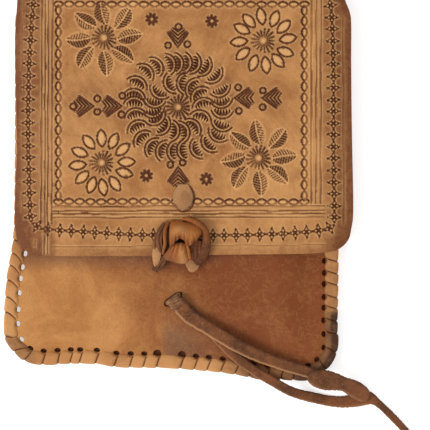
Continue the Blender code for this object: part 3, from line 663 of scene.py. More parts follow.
def groove(distance, width, soft=0.45):
    """1 in the middle of a groove and 0 outside it."""
    return smooth((width / 2 + soft / 2 - distance) / soft)


def polar(u, v):
    return np.hypot(u, v), np.arctan2(v, u)


def spot_at(centre, reach, angle):
    """The spot this far from a centre, at this angle."""
    return centre[0] + reach * cos(angle), centre[1] + reach * sin(angle)


def stamp_crescent(tool, middle, facing, force):
    """A half-moon: a line, a rib, and a toothed band on its flat side."""
    radius, span = 7.7, radians(76)
    window, u, v = tool.near(spot_at(middle, -4.2, facing), facing, radius + 2.0)
    r, a = polar(u, v)
    ends = smooth((1.0 - np.abs(a) / span) / 0.07)
    line = groove(np.abs(r - radius), 1.15) * ends
    base = 0.9 - 0.3 * (v / 5.6) ** 2
    band = smooth((radius - 1.55 - r) / 0.35) * smooth((u - base) / 0.35)
    teeth = np.zeros_like(r)
    for place in (1.7 * (i - 3) for i in range(7)):
        along = (u - base) / (4.1 * (1 - (place / 7.2) ** 2))
        width = 0.72 * (1 - along) + 0.08
        lean = place * (1 + 0.06 * (u - base))
        teeth = np.maximum(teeth, smooth((width - np.abs(v - lean)) / 0.3 + 0.5) * (along < 1))
    cut = band * (1 - teeth)
    rib = groove(np.abs(r - radius + 1.05), 0.8, 0.4) * ends
    lip = groove(np.abs(r - radius - 1.0), 0.8, 0.5) * ends
    swell = np.maximum.reduce([0.30 * rib, 0.22 * teeth * band, 0.16 * lip])
    tool.press(window, force, np.maximum(0.6 * line, 0.8 * cut), np.maximum(0.9 * line, cut), swell)


def stamp_sunburst(tool, centre, radius, turn, force):
    window, u, v = tool.near(centre, turn, radius + 1)
    r, a = polar(u, v)
    rays = 17
    # The rays hold more dye towards the upper right and the ring towards its right: groove dye with painted
    # shade on the side away from the light
    deep = 0.80 + 0.20 * np.cos(a - radians(20))
    stripe = smooth((np.cos(rays * a) + 0.42) / 0.75) * smooth((r - 2.5) / 0.7)
    stripe *= smooth((radius - r - 0.7 * np.cos(3 * a)) / 0.8)
    ring = groove(np.abs(r - 2.6), 1.2, 0.9) * (0.6 + 0.4 * np.cos(a + radians(20)))
    ground = 0.36 * smooth((radius - 1.0 - r) / 3.0) * smooth((r - 1.6) / 1.0)
    dye = np.maximum.reduce([stripe * deep, 0.65 * ring, ground])
    tool.press(window, force, np.maximum(0.65 * stripe, 0.5 * ring), dye, 0.25 * smooth((2.0 - r) / 1.2))


def stamp_leaf(tool, centre, turn, bend, force, flip):
    """A veined leaf from its stalk at -u to its tip at +u."""
    half_length, half_width = 8.5, 5.3
    window, u, v = tool.near(centre, turn, half_length + 1.5)
    share = np.clip((u + half_length) / (2 * half_length), 0.0, 1.0)
    side = (v - bend * np.sin(pi * share)) * flip
    wide = half_width * np.sin(pi * share ** 0.82) ** 0.75
    within = smooth((wide * np.where(side > 0, 1.0, 0.86) - np.abs(side)) / 0.5)
    within *= smooth((half_length - np.abs(u)) / 0.4)
    slant = u + 0.42 * np.abs(side)
    veins = smooth((np.cos(2 * pi * slant / 1.75) + 0.45) / 0.7)
    stem = smooth((0.75 - np.abs(side)) / 0.35)
    cut = within * veins * (1 - stem)
    dye = np.maximum(cut * np.where(side > 0, 1.0, 0.6), 0.34 * within * (1 - stem) * (side > 0))
    rim = groove(np.abs(wide + 0.35 - np.abs(side)), 0.6, 0.5) * smooth((half_length - np.abs(u)) / 0.6)
    stalk = stem * smooth((half_length + 0.6 - np.abs(u)) / 0.6)
    swell = np.maximum(0.24 * stalk, 0.16 * rim)
    tool.press(window, force, 0.65 * cut + 0.12 * within * (1 - stem), dye, swell)


def lens_distance(u, v, length, width):
    """Signed distance to a pointed oval, negative inside it."""
    centre = (length ** 2 - width ** 2) / (4 * width)
    return np.hypot(u, np.abs(v) + centre) - (centre + width / 2)


def span_of(start, end):
    """The length of a straight way and its angle."""
    across, up = end[0] - start[0], end[1] - start[1]
    return hypot(across, up), atan2(up, across)


def stamp_petal(tool, centre, turn, length, width, line, force, below=1.0):
    """A domed petal in a groove, whose lower side holds only this share of the dye."""
    window, u, v = tool.near(centre, turn, length / 2 + 1.5)
    distance = lens_distance(u, v, length, width)
    ring = groove(np.abs(distance + line / 2), line)
    upper = below + (1 - below) * smooth((v + 0.9) / 1.8)
    tool.press(window, force, 0.7 * ring, ring * upper, 0.24 * smooth((-distance - line) / 1.2))


def stamp_ring(tool, centre, radius, force):
    window, u, v = tool.near(centre, 0.0, radius + 1.5)
    r = np.hypot(u, v)
    ring = groove(np.abs(r - radius), 1.35)
    dot = groove(r, 0.6, 0.5)
    tool.press(window, force, np.maximum(0.7 * ring, 0.3 * dot), np.maximum(ring, 0.6 * dot))


def stamp_star(tool, centre, turn, force):
    window, u, v = tool.near(centre, turn, 5.5)
    r, a = polar(u, v)
    arm = np.abs(np.sin(4 * a)) / 4 * r
    cut = smooth((0.95 - arm) / 0.4) * smooth((4.7 - r) / 0.6) * smooth((r - 0.9) / 0.4)
    tool.press(window, force, 0.65 * cut, cut)


def stamp_arrow(tool, apex, turn, force):
    """Nested V grooves that point along -u, with their apex at the spot."""
    window, u, v = tool.near(apex, turn, 18.0)
    cut = np.zeros_like(u)
    for i in range(5):
        slope = 1.35 - 0.17 * i
        arm = np.abs(u - (0.6 + 2.6 * i) - np.abs(v) * slope) / hypot(1.0, slope)
        cut = np.maximum(cut, groove(arm, 1.1) * smooth((7.6 - 0.9 * i - np.abs(v)) / 0.8))
    cut *= smooth((16.2 - u) / 0.8) * smooth((u + 0.5) / 0.5)
    tool.press(window, force, 0.65 * cut, cut)


def stamp_line(tool, start, end, width, force):
    """A scribed line with a little wobble and a low ridge along its left."""
    length, turn = span_of(start, end)
    centre = ((start[0] + end[0]) / 2, (start[1] + end[1]) / 2)
    window, u, v = tool.near(centre, turn, length / 2 + 2)
    off = v - (0.18 * np.sin(u / 9.0 + start[0]) + 0.1 * np.sin(u / 3.7 + start[1]))
    ends = smooth((length / 2 - np.abs(u)) / 0.6)
    cut = groove(np.abs(off), width) * ends
    worn = 0.75 + 0.25 * np.sin(u / 13.0 + start[1])
    ridge = groove(np.abs(off - width), 0.6, 0.6) * ends
    tool.press(window, force, 0.50 * cut, 0.75 * cut * worn, 0.06 * force * ridge)


def stamp_diamond(tool, centre, turn, pitch, force):
    """One link of the border chain: four points with four raised dots, between round lobes."""
    window, u, v = tool.near(centre, turn, 6.0)
    lobe, neck = 3.2, 0.65
    away = pitch / 2 - np.abs(u)
    inner = np.clip(away, 0.0, lobe)
    wide = neck + lobe - np.sqrt(lobe ** 2 - inner ** 2) + np.clip(away - lobe, 0.0, 1.0) * 2.2
    within = (np.abs(u) <= pitch / 2 + 0.2) * smooth((4.9 - np.abs(v)) / 0.5)
    cut = smooth((wide - np.abs(v)) / 0.45 + 0.5) * within
    places = ((1.8, 0.0), (-1.8, 0.0), (0.0, 1.9), (0.0, -1.9))
    dots = np.maximum.reduce([groove(np.hypot(u - dx, v - dy), 1.5, 0.5) for dx, dy in places])
    cut = cut * (1 - dots)
    tool.press(window, force, 0.7 * cut, cut, 0.2 * dots)


STAMP_FORCE = 0.95
MEDALLION = (0.0, 39.9)
INNER_REACH = 16.2
OUTER_REACH = 30.4
INNER_FACING = radians(92)
OUTER_FACING = radians(-86)
INNER_ANGLES = (145, 112, 82, 58, 35, 10, -20, -50, -76, -99, -125, -150, -167, 170)
OUTER_ANGLES = (90, 100, 117, 131, 148, 163, 173, 188, 204, 219, 235, 248, 262, 275, 292, 308, 323, 336, 352,
                5.5, 20, 39.4, 55, 68, 79)
LEAF_FLOWERS = ((-49.0, 85.7), (53.1, 6.4))
LEAVES, LEAF_REACH = 8, 17.2
PETAL_FLOWERS = ((-50.4, 3.2), (56.2, 83.8))
PETALS, PETAL_REACH = 12, 16.2
HEART_RADIUS = 8.4
ARROWS = (
    (-36.8, 40.6, 180), (-55.4, 40.6, 180), (36.5, 46.0, 0), (54.7, 46.0, 0), (-0.3, 78.9, 90),
    (-0.1, 1.0, -90),
)
RINGS = (
    (-69.4, 40.4), (0.1, 92.9), (-53.5, 45.5), (-53.5, 36.8), (-37.0, 47.4), (-37.6, 35.0), (-6.8, 80.7),
    (5.9, 81.4), (39.5, 52.9), (39.9, 37.4), (55.8, 50.8), (55.6, 39.9), (-5.3, 1.9), (2.8, 3.3),
)
STARS = ((-17.5, 98.0), (22.1, 96.7), (-21.1, -5.3), (18.5, -7.6))
CHAIN_LINE = [
    (-94.5, 126.5), (-95.6, 110.6), (-98.5, 70.0), (-99.3, 30.0), (-98.8, -5.0), (-98.0, -26.7),
    (-97.2, -34.0), (-92.8, -39.0), (-85.2, -40.8), (-60.0, -42.5), (-30.0, -44.2), (2.0, -44.6),
    (40.0, -44.6), (75.0, -43.2), (97.5, -40.6), (102.2, -36.0), (103.0, -28.0), (102.4, 10.0),
    (102.4, 60.0), (101.5, 95.0), (100.0, 110.6), (98.5, 126.5),
]
OVAL_BOX = (-79.2, 83.2, -22.5, 107.9)
OVAL_PITCH = 7.1
CHAIN_PITCH = 7.8


def about(value, spread):
    return value + CHANCE.uniform(-spread, spread)


def press_medallion(tool):
    for angle in map(radians, INNER_ANGLES):
        stamp_crescent(tool, spot_at(MEDALLION, INNER_REACH, angle), angle + INNER_FACING, about(0.92, 0.08))
    for angle in map(radians, OUTER_ANGLES):
        reach = OUTER_REACH - 1.5 * cos(4 * angle)
        stamp_crescent(tool, spot_at(MEDALLION, reach, angle), angle + OUTER_FACING, about(0.92, 0.08))
    stamp_sunburst(tool, MEDALLION, 8.6, 0.1, STAMP_FORCE)


def press_flowers(tool):
    for centre in LEAF_FLOWERS:
        for i in range(LEAVES):
            a = radians(360 // LEAVES * i + 2)
            turn = a + radians(about(8.0, 6.0)) + (pi if i % 4 == 1 else 0.0)
            bend, force = about(0.9, 0.3), about(0.95, 0.05)
            stamp_leaf(tool, spot_at(centre, LEAF_REACH, a), turn, bend, force, 1.0 if i % 3 else -1.0)
        stamp_sunburst(tool, centre, HEART_RADIUS, 0.3, 0.9)
    for centre in PETAL_FLOWERS:
        for i in range(PETALS):
            a = radians(360 // PETALS * i + about(4.0, 3.0))
            turn = a + radians(about(4.0, 5.0))
            stamp_petal(tool, spot_at(centre, PETAL_REACH, a), turn, 12.8, 7.1, 1.15, about(0.95, 0.05))
        stamp_sunburst(tool, centre, HEART_RADIUS, 0.0, 0.9)


def press_ovals(tool):
    left, right, bottom, top = OVAL_BOX
    for start, end in (((left, bottom), (right, bottom)), ((left, top), (right, top)),
                       ((left, bottom + 4), (left, top - 4)), ((right, bottom + 4), (right, top - 4))):
        length, turn = span_of(start, end)
        count = round(length / OVAL_PITCH)
        for share in (i / count for i in range(count + 1)):
            x, y = (start[i] + (end[i] - start[i]) * share for i in range(2))
            spot, lean = (x, about(y, 0.25)), radians(about(0.0, 3.0))
            stamp_petal(tool, spot, turn + lean, 7.7, 4.8, 1.2, about(0.88, 0.1), 0.4)


def press_lines(tool):
    for x in (-90.75, -88.4, -86.5, -83.8):
        low = -57.6 if x in (-88.4, -86.5) else -37.5
        stamp_line(tool, (x, low), (x + 0.8, 121.0), 0.95, 0.9)
    for x in (87.5, 90.8, 93.8):
        stamp_line(tool, (x, -24.0), (x + 0.3, 121.0), 0.95, 0.9)
    for y in (-25.7, -28.7, -30.7, -33.0):
        stamp_line(tool, (-84.0, y), (97.0, y + 0.4), 0.95, 0.95)
    for y in (112.5, 115.5, 117.5, 122.4):
        stamp_line(tool, (-84.0, y), (92.0, y + 0.4), 0.95, 0.9)
    stamp_line(tool, (-84.0, -52.5), (97.0, -50.8), 0.7, 0.6)
    stamp_line(tool, (109.2, -38.0), (108.6, 100.0), 1.0, 0.5)
    stamp_line(tool, (-102.8, -30.0), (-102.6, 120.0), 0.7, 0.35)
    stamp_line(tool, (-94.6, -54.0), (-94.4, -47.5), 0.6, 0.8)


def press_chain(tool):
    line = curve_through(CHAIN_LINE, 0.5)
    top = np.array([[98.5, 126.5], [-94.5, 126.5]])
    for part in (line, spaced(top, 0.5)):
        count = round(len(part) * 0.5 / CHAIN_PITCH)
        step = (len(part) - 1) / count
        way = directions(part)
        for i in range(count):
            at = int((i + 0.5) * step)
            turn = atan2(way[at, 1], way[at, 0]) + radians(about(0.0, 3.0))
            stamp_diamond(tool, part[at], turn, step * 0.5, about(0.93, 0.07))


def paint_shadow_round_tab(tool):
    """Painted shadow along the right and lower edge of the tab, put into the dye with a shallow dip."""
    window, u, v = tool.near((3.3, -20.0), 0.0, 12.0)
    ring = np.hypot(u / 7.2, v / 9.0)
    beside = groove(np.abs(ring - 1.0) * 7.5, 1.3, 0.8) * smooth((u - 0.5 * v + 3.0) / 5.0)
    tool.press(window, 1.0, 0.15 * beside, 0.75 * beside)


def blurred(values, radius):
    """A soft copy of a grid."""
    size = int(3 * radius / CELL)
    kernel = np.exp(-0.5 * (np.arange(-size, size + 1) * CELL / radius) ** 2)
    kernel /= kernel.sum()
    rows = np.apply_along_axis(np.convolve, 0, values, kernel, "same")
    return np.apply_along_axis(np.convolve, 1, rows, kernel, "same")


def make_tooling():
    tool = Tooling()
    press_medallion(tool)
    press_flowers(tool)
    for x, y, angle in ARROWS:
        stamp_arrow(tool, (x, y), radians(angle), STAMP_FORCE)
    for spot in RINGS:
        stamp_ring(tool, spot, 1.95, 0.98)
    for spot in STARS:
        stamp_star(tool, spot, about(0.2, 0.2), STAMP_FORCE)
    press_ovals(tool)
    press_lines(tool)
    press_chain(tool)
    # Painted shadow round the tab
    paint_shadow_round_tab(tool)
    rim = blurred(tool.depth, 0.7) * (1 - np.clip(tool.depth / 0.3, 0, 1))
    relief = 1.2 * rim + tool.swell * (1 - tool.dye) - tool.depth
    # Dye with its antique spread, and the painted shadow round the tab
    stain_and_shade = np.clip(tool.dye + 0.24 * blurred(tool.dye, 1.0) + 0.42 * blurred(tool.dye, 4.0), 0.0, 1.0)
    # Paler raised rims and ribs: partly rubbed wear, partly painted highlight
    rub = np.clip((3.2 * rim + 3.0 * tool.swell) * (1 - tool.dye), 0.0, 0.85)
    return relief, stain_and_shade, rub


def sample(grid, points):
    """A grid's values at points of the flap."""
    x = np.clip((points[:, 0] - GRID_LOW[0]) / CELL, 0, GRID_SIZE[0] - 1.001)
    y = np.clip((points[:, 1] - GRID_LOW[1]) / CELL, 0, GRID_SIZE[1] - 1.001)
    i, j = x.astype(int), y.astype(int)
    fx, fy = x - i, y - j
    low = grid[j, i] * (1 - fx) + grid[j, i + 1] * fx
    high = grid[j + 1, i] * (1 - fx) + grid[j + 1, i + 1] * fx
    return low * (1 - fy) + high * fy


def detail_points(relief, stain_and_shade):
    """Spots on the flap, close together where the tooling turns sharply."""
    down, across = np.gradient(relief)
    change = np.hypot(down, across) + 0.5 * np.hypot(*np.gradient(stain_and_shade))
    score = change + 2.0 * np.abs(np.gradient(down, axis=0) + np.gradient(across, axis=1))
    rows, columns = np.indices(score.shape)

    def every(step):
        return (rows % step == 0) & (columns % step == 0)

    close_limit, fine_limit = (np.quantile(score, 1 - share) for share in (CLOSE_SHARE, FINE_SHARE))
    fine = ((rows + columns) % 2 == 0) & ~every(2) & (score > fine_limit)
    close = every(2) & (score > close_limit)
    medium = every(3) & (score > PLAIN_SCORE) & (score <= close_limit)
    plain = every(8) & (score <= PLAIN_SCORE)
    spots = np.argwhere(fine | close | medium | plain)[:, ::-1] * CELL + np.array(GRID_LOW)
    return spots + CHANCE.uniform(-0.06, 0.06, spots.shape) * CELL * 2


def oval_hole(centre, out, half_out, half_along):
    """A hole's edge, clockwise."""
    angles = -np.linspace(0, 2 * pi, 14, endpoint=False)
    along = np.array([-out[1], out[0]])
    reach = np.outer(np.cos(angles) * half_out, out)
    return np.array(centre) + reach + np.outer(np.sin(angles) * half_along, along)


def slit(x, y, half_width, half_height, count=16):
    angles = -np.linspace(0, 2 * pi, count, endpoint=False)
    cosine, sine = np.cos(angles), np.sin(angles)
    return np.stack([x + half_width * np.sign(cosine) * np.abs(cosine) ** 0.5, y + half_height * sine], 1)


FLAP_END = ROUND_Y + pi * FOLD_RADIUS
HINGE_BAND = (129.6, 136.4)
EDGE_STEP = 0.9
# The rows of points across the fold: close together at the hinge, and wider apart beyond it
HINGE_STEP = 0.45
FOLD_STEP = 0.9
SLIT_HALF = (3.8, 0.9)


def flap_tone(x, y):
    """Where the flap is darker: its left edge, its corners and its right border."""
    left = smooth((-82.0 - x) / 26.0) * 0.70
    right = smooth((x - 84.0) / 30.0) * 0.62
    low = smooth((-36.0 - y) / 22.0) * 0.30
    corner = smooth((-60.0 - x) / 50.0) * smooth((-10.0 - y) / 50.0) * 0.12
    high = smooth((y - 95.0) / 40.0) * 0.30
    left *= 1 - 0.3 * smooth((-38.0 - y) / 10.0)
    wash = 0.32 * smooth((42.0 - np.hypot(x - MEDALLION[0], y - MEDALLION[1])) / 9.0)
    arrows = 0.24 * np.exp(-((x + 62.0) / 30.0) ** 2 - ((y - 38.0) / 24.0) ** 2)
    strip = 0.22 * smooth((8.0 - np.abs(x + 87.5)) / 4.0)
    return np.clip(0.25 + left + right + low + corner + high + wash + arrows + strip, 0.0, 1.0)


def cut_edge(shares):
    """1 on the upper half of a sheet's cut edge, and 0 on both faces."""
    return smooth(shares / 0.2) * (1 - smooth((shares - 0.5) / 0.3))


def make_flap(hide):
    relief, stain_and_shade, rub = make_tooling()
    side = curve_through(FLAP_LINE, EDGE_STEP)
    root_x = FLAP_LINE[-1][0]
    up = spaced(np.array([side[-1], [root_x, FLAP_END]]), EDGE_STEP)[1:]
    back = spaced(np.array([[root_x, FLAP_END], [-root_x, FLAP_END]]), 2.0)[1:]
    down = spaced(np.array([[-root_x, FLAP_END], side[0]]), EDGE_STEP)[1:-1]
    outline = np.concatenate([side, up, back, down])
    loops = [outline, *(slit(TOGGLE[0], y, *SLIT_HALF) for y in (TAB_TOP_Y, TOGGLE[1]))]

    low, high = HINGE_BAND
    rows = [(low + HINGE_STEP * i, 2.2) for i in range(int((high - low) / HINGE_STEP) + 1)]
    rows += [(high + FOLD_STEP + FOLD_STEP * i, 2.4) for i in range(int((FLAP_END - high) / FOLD_STEP) - 1)]
    bands = []
    for i, (y, step) in enumerate(rows):
        xs = np.arange(-104.0 + (i % 2) * step / 2, 105.0, step)
        bands.append(np.stack([xs, np.full(len(xs), y)], 1))
    bands = np.concatenate(bands)
    bands = clear_of_loops(bands + CHANCE.uniform(-0.02, 0.02, bands.shape), loops, 1.2)
    tooled = detail_points(relief, stain_and_shade)
    tooled = tooled[tooled[:, 1] < low - 0.3]
    plain = jittered((-108.0, -57.0), (115.0, low - 1.5), 4.0)
    faces = ((tooled, 1.0), (plain, 2.0))
    points = [np.concatenate([clear_of_loops(part, loops, margin), bands]) for part, margin in faces]

    def roof(points):
        return flap_roof(points) + sample(relief, points) * smooth((low - points[:, 1]) / 1.5)

    def floor(points):
        return flap_roof(points) - LEATHER

    def marks(plan, shares):
        band = smooth((low - plan[:, 1]) / 1.5) * (1 - smooth(shares / 0.3))
        return {"dye": np.maximum(sample(stain_and_shade, plan) * band, 0.45 * cut_edge(shares)),
                "rub": sample(rub, plan) * band, "tone": flap_tone(*plan.T), "grey": 0.0}

    flap = leather_sheet("flap_leather", loops, points, roof, floor, marks, bend_round_fold)
    material, slot_name = hide
    flap.data.materials.append(material)
    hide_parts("flap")
    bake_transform(flap)


# The laced body

def hole_spots():
    """How far along the edge each lacing hole is, from the right of the mouth to the left, and its size."""
    line = at_edge(edge_run, -HOLE_INSET)
    right, left = edge_run < edge_run[-1] * 0.36, edge_run > edge_run[-1] * 0.64

    def run_at(part, axis, sign, value):
        return float(np.interp(sign * value, sign * line[part][:, axis], edge_run[part]))

    first, start = (run_at(right, 1, -1, y) for y in (RIGHT_HOLES[0], MOUTH_Y - 5.0))
    last, end = (run_at(left, 1, 1, y) for y in (LEFT_HOLES[-1], MOUTH_Y - 5.0))
    count = round((first - start) / LACE_PITCH)
    spots = [(start + (first - start) * i / count, 1.0) for i in range(count)]
    spots += [(run_at(right, 1, -1, y), 1.0) for y in RIGHT_HOLES]
    spots += [(run_at(~(right | left), 0, -1, x), LARGE_HOLES.get(x, 1.12)) for x in BOTTOM_HOLES]
    spots += [(run_at(left, 1, 1, y), 1.05) for y in LEFT_HOLES]
    count = round((end - last) / LACE_PITCH)
    spots += [(last + (end - last) * i / count, 1.0) for i in range(1, count + 1)]
    return zip(*spots)


hole_runs, hole_sizes = hole_spots()


def lace_hole_loops(behind):
    """The holes of the front, or those behind, which the lace pulls out and closes except at the left."""
    loops = []
    for run, size in zip(hole_runs, hole_sizes):
        closed = behind and at_edge(run, 0.0)[0] > OPEN_HOLES_X
        centre = at_edge(run, CLOSED_SHIFT - HOLE_INSET if closed else -HOLE_INSET)
        out = at_edge(run, 1.0) - at_edge(run, 0.0)
        half = CLOSED_HALF if closed else (HOLE_HALF_WIDTH * size, HOLE_HALF_LENGTH * size ** 0.5)
        loops.append(oval_hole(centre, out / np.linalg.norm(out), *half))
    return loops


def body_tone_and_shadow(points):
    """Tan at the left, a deep reddish brown at the right, and a painted shadow under the flap."""
    x, y = points[:, 0], points[:, 1]
    drift = smooth((x + 70.0) / 110.0)
    # Painted shadow under the flap
    shade = smooth((y + 74.0) / 14.0) * 0.35
    return np.clip(0.16 + 0.74 * drift + shade, 0.0, 1.0)


def body_grey_and_shadow(points):
    """A greyish patch under the loop, with a sharp crease at its left, and a soft painted shadow below the
    flap.
    """
    x, y = points[:, 0], points[:, 1]
    along = x + 0.55 * (y + 118.0)
    patch = smooth((x + 11.8) / 3.0) * smooth((40.0 - along) / 46.0) * smooth((-94.0 - y - 0.22 * x) / 20.0)
    patch *= 0.50 + 0.30 * np.exp(-((x - 4.0) / 16.0) ** 2 - ((y + 112.0) / 14.0) ** 2)
    # Painted shadow below the flap
    shade = 0.5 * smooth((y + 70.0) / 12.0) * smooth((60.0 - x) / 80.0)
    return np.clip(np.maximum(patch, shade), 0.0, 1.0)


def panel_marks(plan, shares):
    return {"dye": 0.6 * cut_edge(shares), "rub": 0.0, "tone": body_tone_and_shadow(plan), "grey": body_grey_and_shadow(plan)}


def back_marks(plan, shares):
    """The same, and painted shade inside the seam, where only its holes show it."""
    made = panel_marks(plan, shares)
    seam_shade = smooth((12.5 - inset_of(plan)) / 1.5) * smooth((MOUTH_Y - 8.0 - plan[:, 1]) / 4.0)
    made["dye"] = np.maximum(made["dye"], 0.97 * seam_shade * (shares < 0.5))
    return made


def panel_loops(top_y, holes):
    keep = panel_edge[:, 1] <= top_y + 1e-6
    side = spaced(panel_edge[keep][::-1], 1.1)
    across = spaced(np.array([side[-1], side[0]]), 2.0)[1:-1]
    return [np.concatenate([side, across]), *holes]


def make_panels(hide):
    turn = np.array([[cos(LOOP_TURN), sin(LOOP_TURN)], [-sin(LOOP_TURN), cos(LOOP_TURN)]])
    loop_slit = slit(0.0, 0.0, *LOOP_SLIT_HALF, 20) @ turn + np.array(LOOP_EXIT)
    front_holes = [*lace_hole_loops(False), loop_slit]
    low, high = (-116.0, -143.0), (108.0, ROUND_Y)
    for name, top_y, floor, holes, marks, node_name in (
        ("front_leather", MOUTH_Y, front_floor, front_holes, panel_marks, "front_panel"),
        ("back_leather", ROUND_Y, back_floor, lace_hole_loops(True), back_marks, "back_panel"),
    ):
        loops = panel_loops(top_y, holes)
        points = [clear_of_loops(jittered(low, high, step), loops, 1.3) for step in (2.4, 3.4)]

        def roof(points, floor=floor):
            return floor(points) + LEATHER

        dressed(leather_sheet(name, loops, points, roof, floor, marks), hide, "bag", node_name)


# The lace

# One band of lace from its trailing side to its leading one: across, and up
LACE_SECTION = [
    (-0.96, 0.0), (-0.4, 0.0), (0.4, 0.0), (0.96, 0.0), (1.0, 0.18), (0.95, 0.42), (0.84, 0.66),
    (0.6, 0.85), (0.2, 0.98), (-0.2, 1.06), (-0.6, 1.08), (-0.8, 0.98), (-0.93, 0.62), (-1.0, 0.22),
]
LACE_THICK = 1.15


def band_side(number, share, left):
    """How far along the edge the trailing side of a band is, from 0 at its hole to 1 at the edge."""
    run = hole_runs[number]
    if number < left:
        return run - 1.9 + 2.4 * share
    if number == left:
        return run - 3.6 + 3.2 * share
    return hole_runs[number - 1] + 1.9 + 6.1 * (1 - (1 - share) ** 1.7)


def lace_rows(first, last, left):
    """Sections of a lace: both sides along the edge, how far out, height, facing, thickness and notch."""
    rows = []
    for i in range(first, last):
        run, ahead = hole_runs[i], hole_runs[i + 1]
        lift = float(seam_lift(np.array([at_edge(run, 0.0)[1]]))[0])
        above = lift + LEATHER * 2 + SEAT_GAP
        inner = 1.5 - HOLE_INSET
        deep = -HOLE_INSET - 2.6 if i < left else inner
        rows.append((run - 1.2, run + 1.2, inner, lift + LEATHER, (0.0, -1.0), 0.4, 0.0))
        rows.append((run - 1.3, run + 1.3, inner, above - 1.0, (0.2, -0.98), 0.4, 0.0))
        for share, rise in ((0.0, -1.25), (0.1, -0.6), (0.22, -0.1), (0.36, 0.12), (0.5, 0.2), (0.65, 0.2),
                            (0.8, 0.15), (0.92, 0.05)):
            low, high = band_side(i, share, left), band_side(i + 1, share, left)
            out = -HOLE_INSET + (HOLE_INSET + 0.2) * share
            notch = 2.2 * (1 - share / 0.30) if share < 0.30 else 0.0
            rows.append((low, high, out, above + rise, (1.0, 0.08), 1.0, notch))
        low, high = band_side(i, 1.0, left), band_side(i + 1, 1.0, left)
        for step in range(6):
            turn = pi * (0.12 + 0.76 * step / 5)
            level = (above + lift) / 2 + (above - lift) / 2 * cos(turn)
            face = (cos(turn), sin(turn))
            rows.append((low, high, 0.25 + 0.2 * face[1], level, face, 1.0, 0.0))
        for step in range(8):
            share = (step + 0.5) / 8
            near, far = low + (ahead - 1.5 - low) * share, high + (ahead + 1.5 - high) * share
            rows.append((near, far, 0.2 + (deep - 0.2) * share, lift - 0.1, (-1.0, -0.08), 0.9, 0.0))
    end = hole_runs[last]
    rows.append((end - 1.2, end + 1.2, 1.5 - HOLE_INSET, 7.0, (0.0, -1.0), 0.4, 0.0))
    return rows


def make_lace(name, first, last, left, hide, node_name):
    section = np.array(LACE_SECTION)
    runs = np.array(hole_runs)
    shades = CHANCE.uniform(-0.12, 0.12, len(runs) + 1)
    rows = lace_rows(first, last, left)
    made = []
    for low, high, out, level, face, size, notch in rows:
        middle = (low + high) / 2
        spots = middle + section[:, 0] * (high - low) / 2
        thick = LACE_THICK * size * section[:, 1]
        away = np.abs(spots[:, None] - runs[None]).min(1)
        plan = at_edge(spots, out + notch * np.exp(-(away / 2.1) ** 2) + face[1] * thick)
        # Painted shade in the gaps between bands, and on the lace down in the holes
        rim = smooth((np.abs(section[:, 0]) - 0.88) / 0.08) * smooth(size / 0.6)
        dye = np.maximum(0.7 * rim, 0.9 if size < 0.5 else 0.0)
        tone, grey = lace_colour(plan, out)
        tone = np.clip(tone + shades[np.argmin(np.abs(runs - middle))], 0, 1)
        made.append(np.column_stack([plan, level + face[0] * thick, dye, tone, grey]))
    made = np.concatenate(made)
    faces = tube_faces(len(rows), len(section), flip=True)
    dye, tone, grey = made[:, 3:].T
    lace = make_object(name, made[:, :3], faces, dye=dye, tone=tone, grey=grey, rub=0.0, under=0.0)
    dressed(lace, hide, "bag", node_name)


def lace_colour(plan, out):
    """Tan at the left, pinkish in the middle, greyish at the right, dark round the lower right corner."""
    x, y = plan[:, 0], plan[:, 1]
    outer = smooth((out + 4.4) / 1.6)
    corner = smooth((-94.0 - y) / 3.0) * smooth((x - 66.0) / 16.0)
    middle = smooth((x - 12.0) / 45.0) * smooth((-100.0 - y) / 10.0)
    low_left = smooth((-92.0 - x) / 8.0) * smooth((-108.0 - y) / 8.0)
    right = smooth((x - 62.0) / 30.0) * smooth((y + 122.0) / 20.0)
    tone = 0.10 + 0.55 * middle + 0.35 * low_left + 0.45 * right
    grey = np.maximum(corner * (0.5 + 0.5 * outer), middle * (0.15 + 0.35 * outer))
    return tone, np.clip(np.maximum(grey, 0.35 * low_left), 0.0, 1.0)


def make_laces(material):
    right = next(i for i, run in enumerate(hole_runs) if at_edge(run, 0.0)[1] < RIGHT_SPLICE_Y)
    left = next(i for i, run in enumerate(hole_runs) if at_edge(run, 0.0)[0] < LEFT_SPLICE_X)
    make_lace("lacing_right", 0, right, left, (material, "pale_lace"), "lace_right")
    make_lace("lacing_bottom", right, left, left, (material, "dark_lace"), "lace_bottom")
    make_lace("lacing_left", left, len(hole_runs) - 1, left, (material, "pale_lace"), "lace_left")


tooled_hide = leather_finish(
    "Tooled leather", [(200, 143, 86), (170, 112, 60), (110, 60, 28), (120, 80, 55)], 1500.0)
body_hide = leather_finish(
    "Body leather", [(190, 132, 74), (170, 110, 56), (122, 61, 24), (116, 80, 58)], 1300.0, 0.35)
lace_hide = leather_finish(
    "Lace leather", [(196, 140, 86), (174, 117, 66), (126, 79, 46), (72, 42, 23)], 1500.0)
make_flap((tooled_hide, "tooled_leather"))
make_panels((body_hide, "body_leather"))
make_laces(lace_hide)


# The rolled toggle, its tab and the rough start of the loop

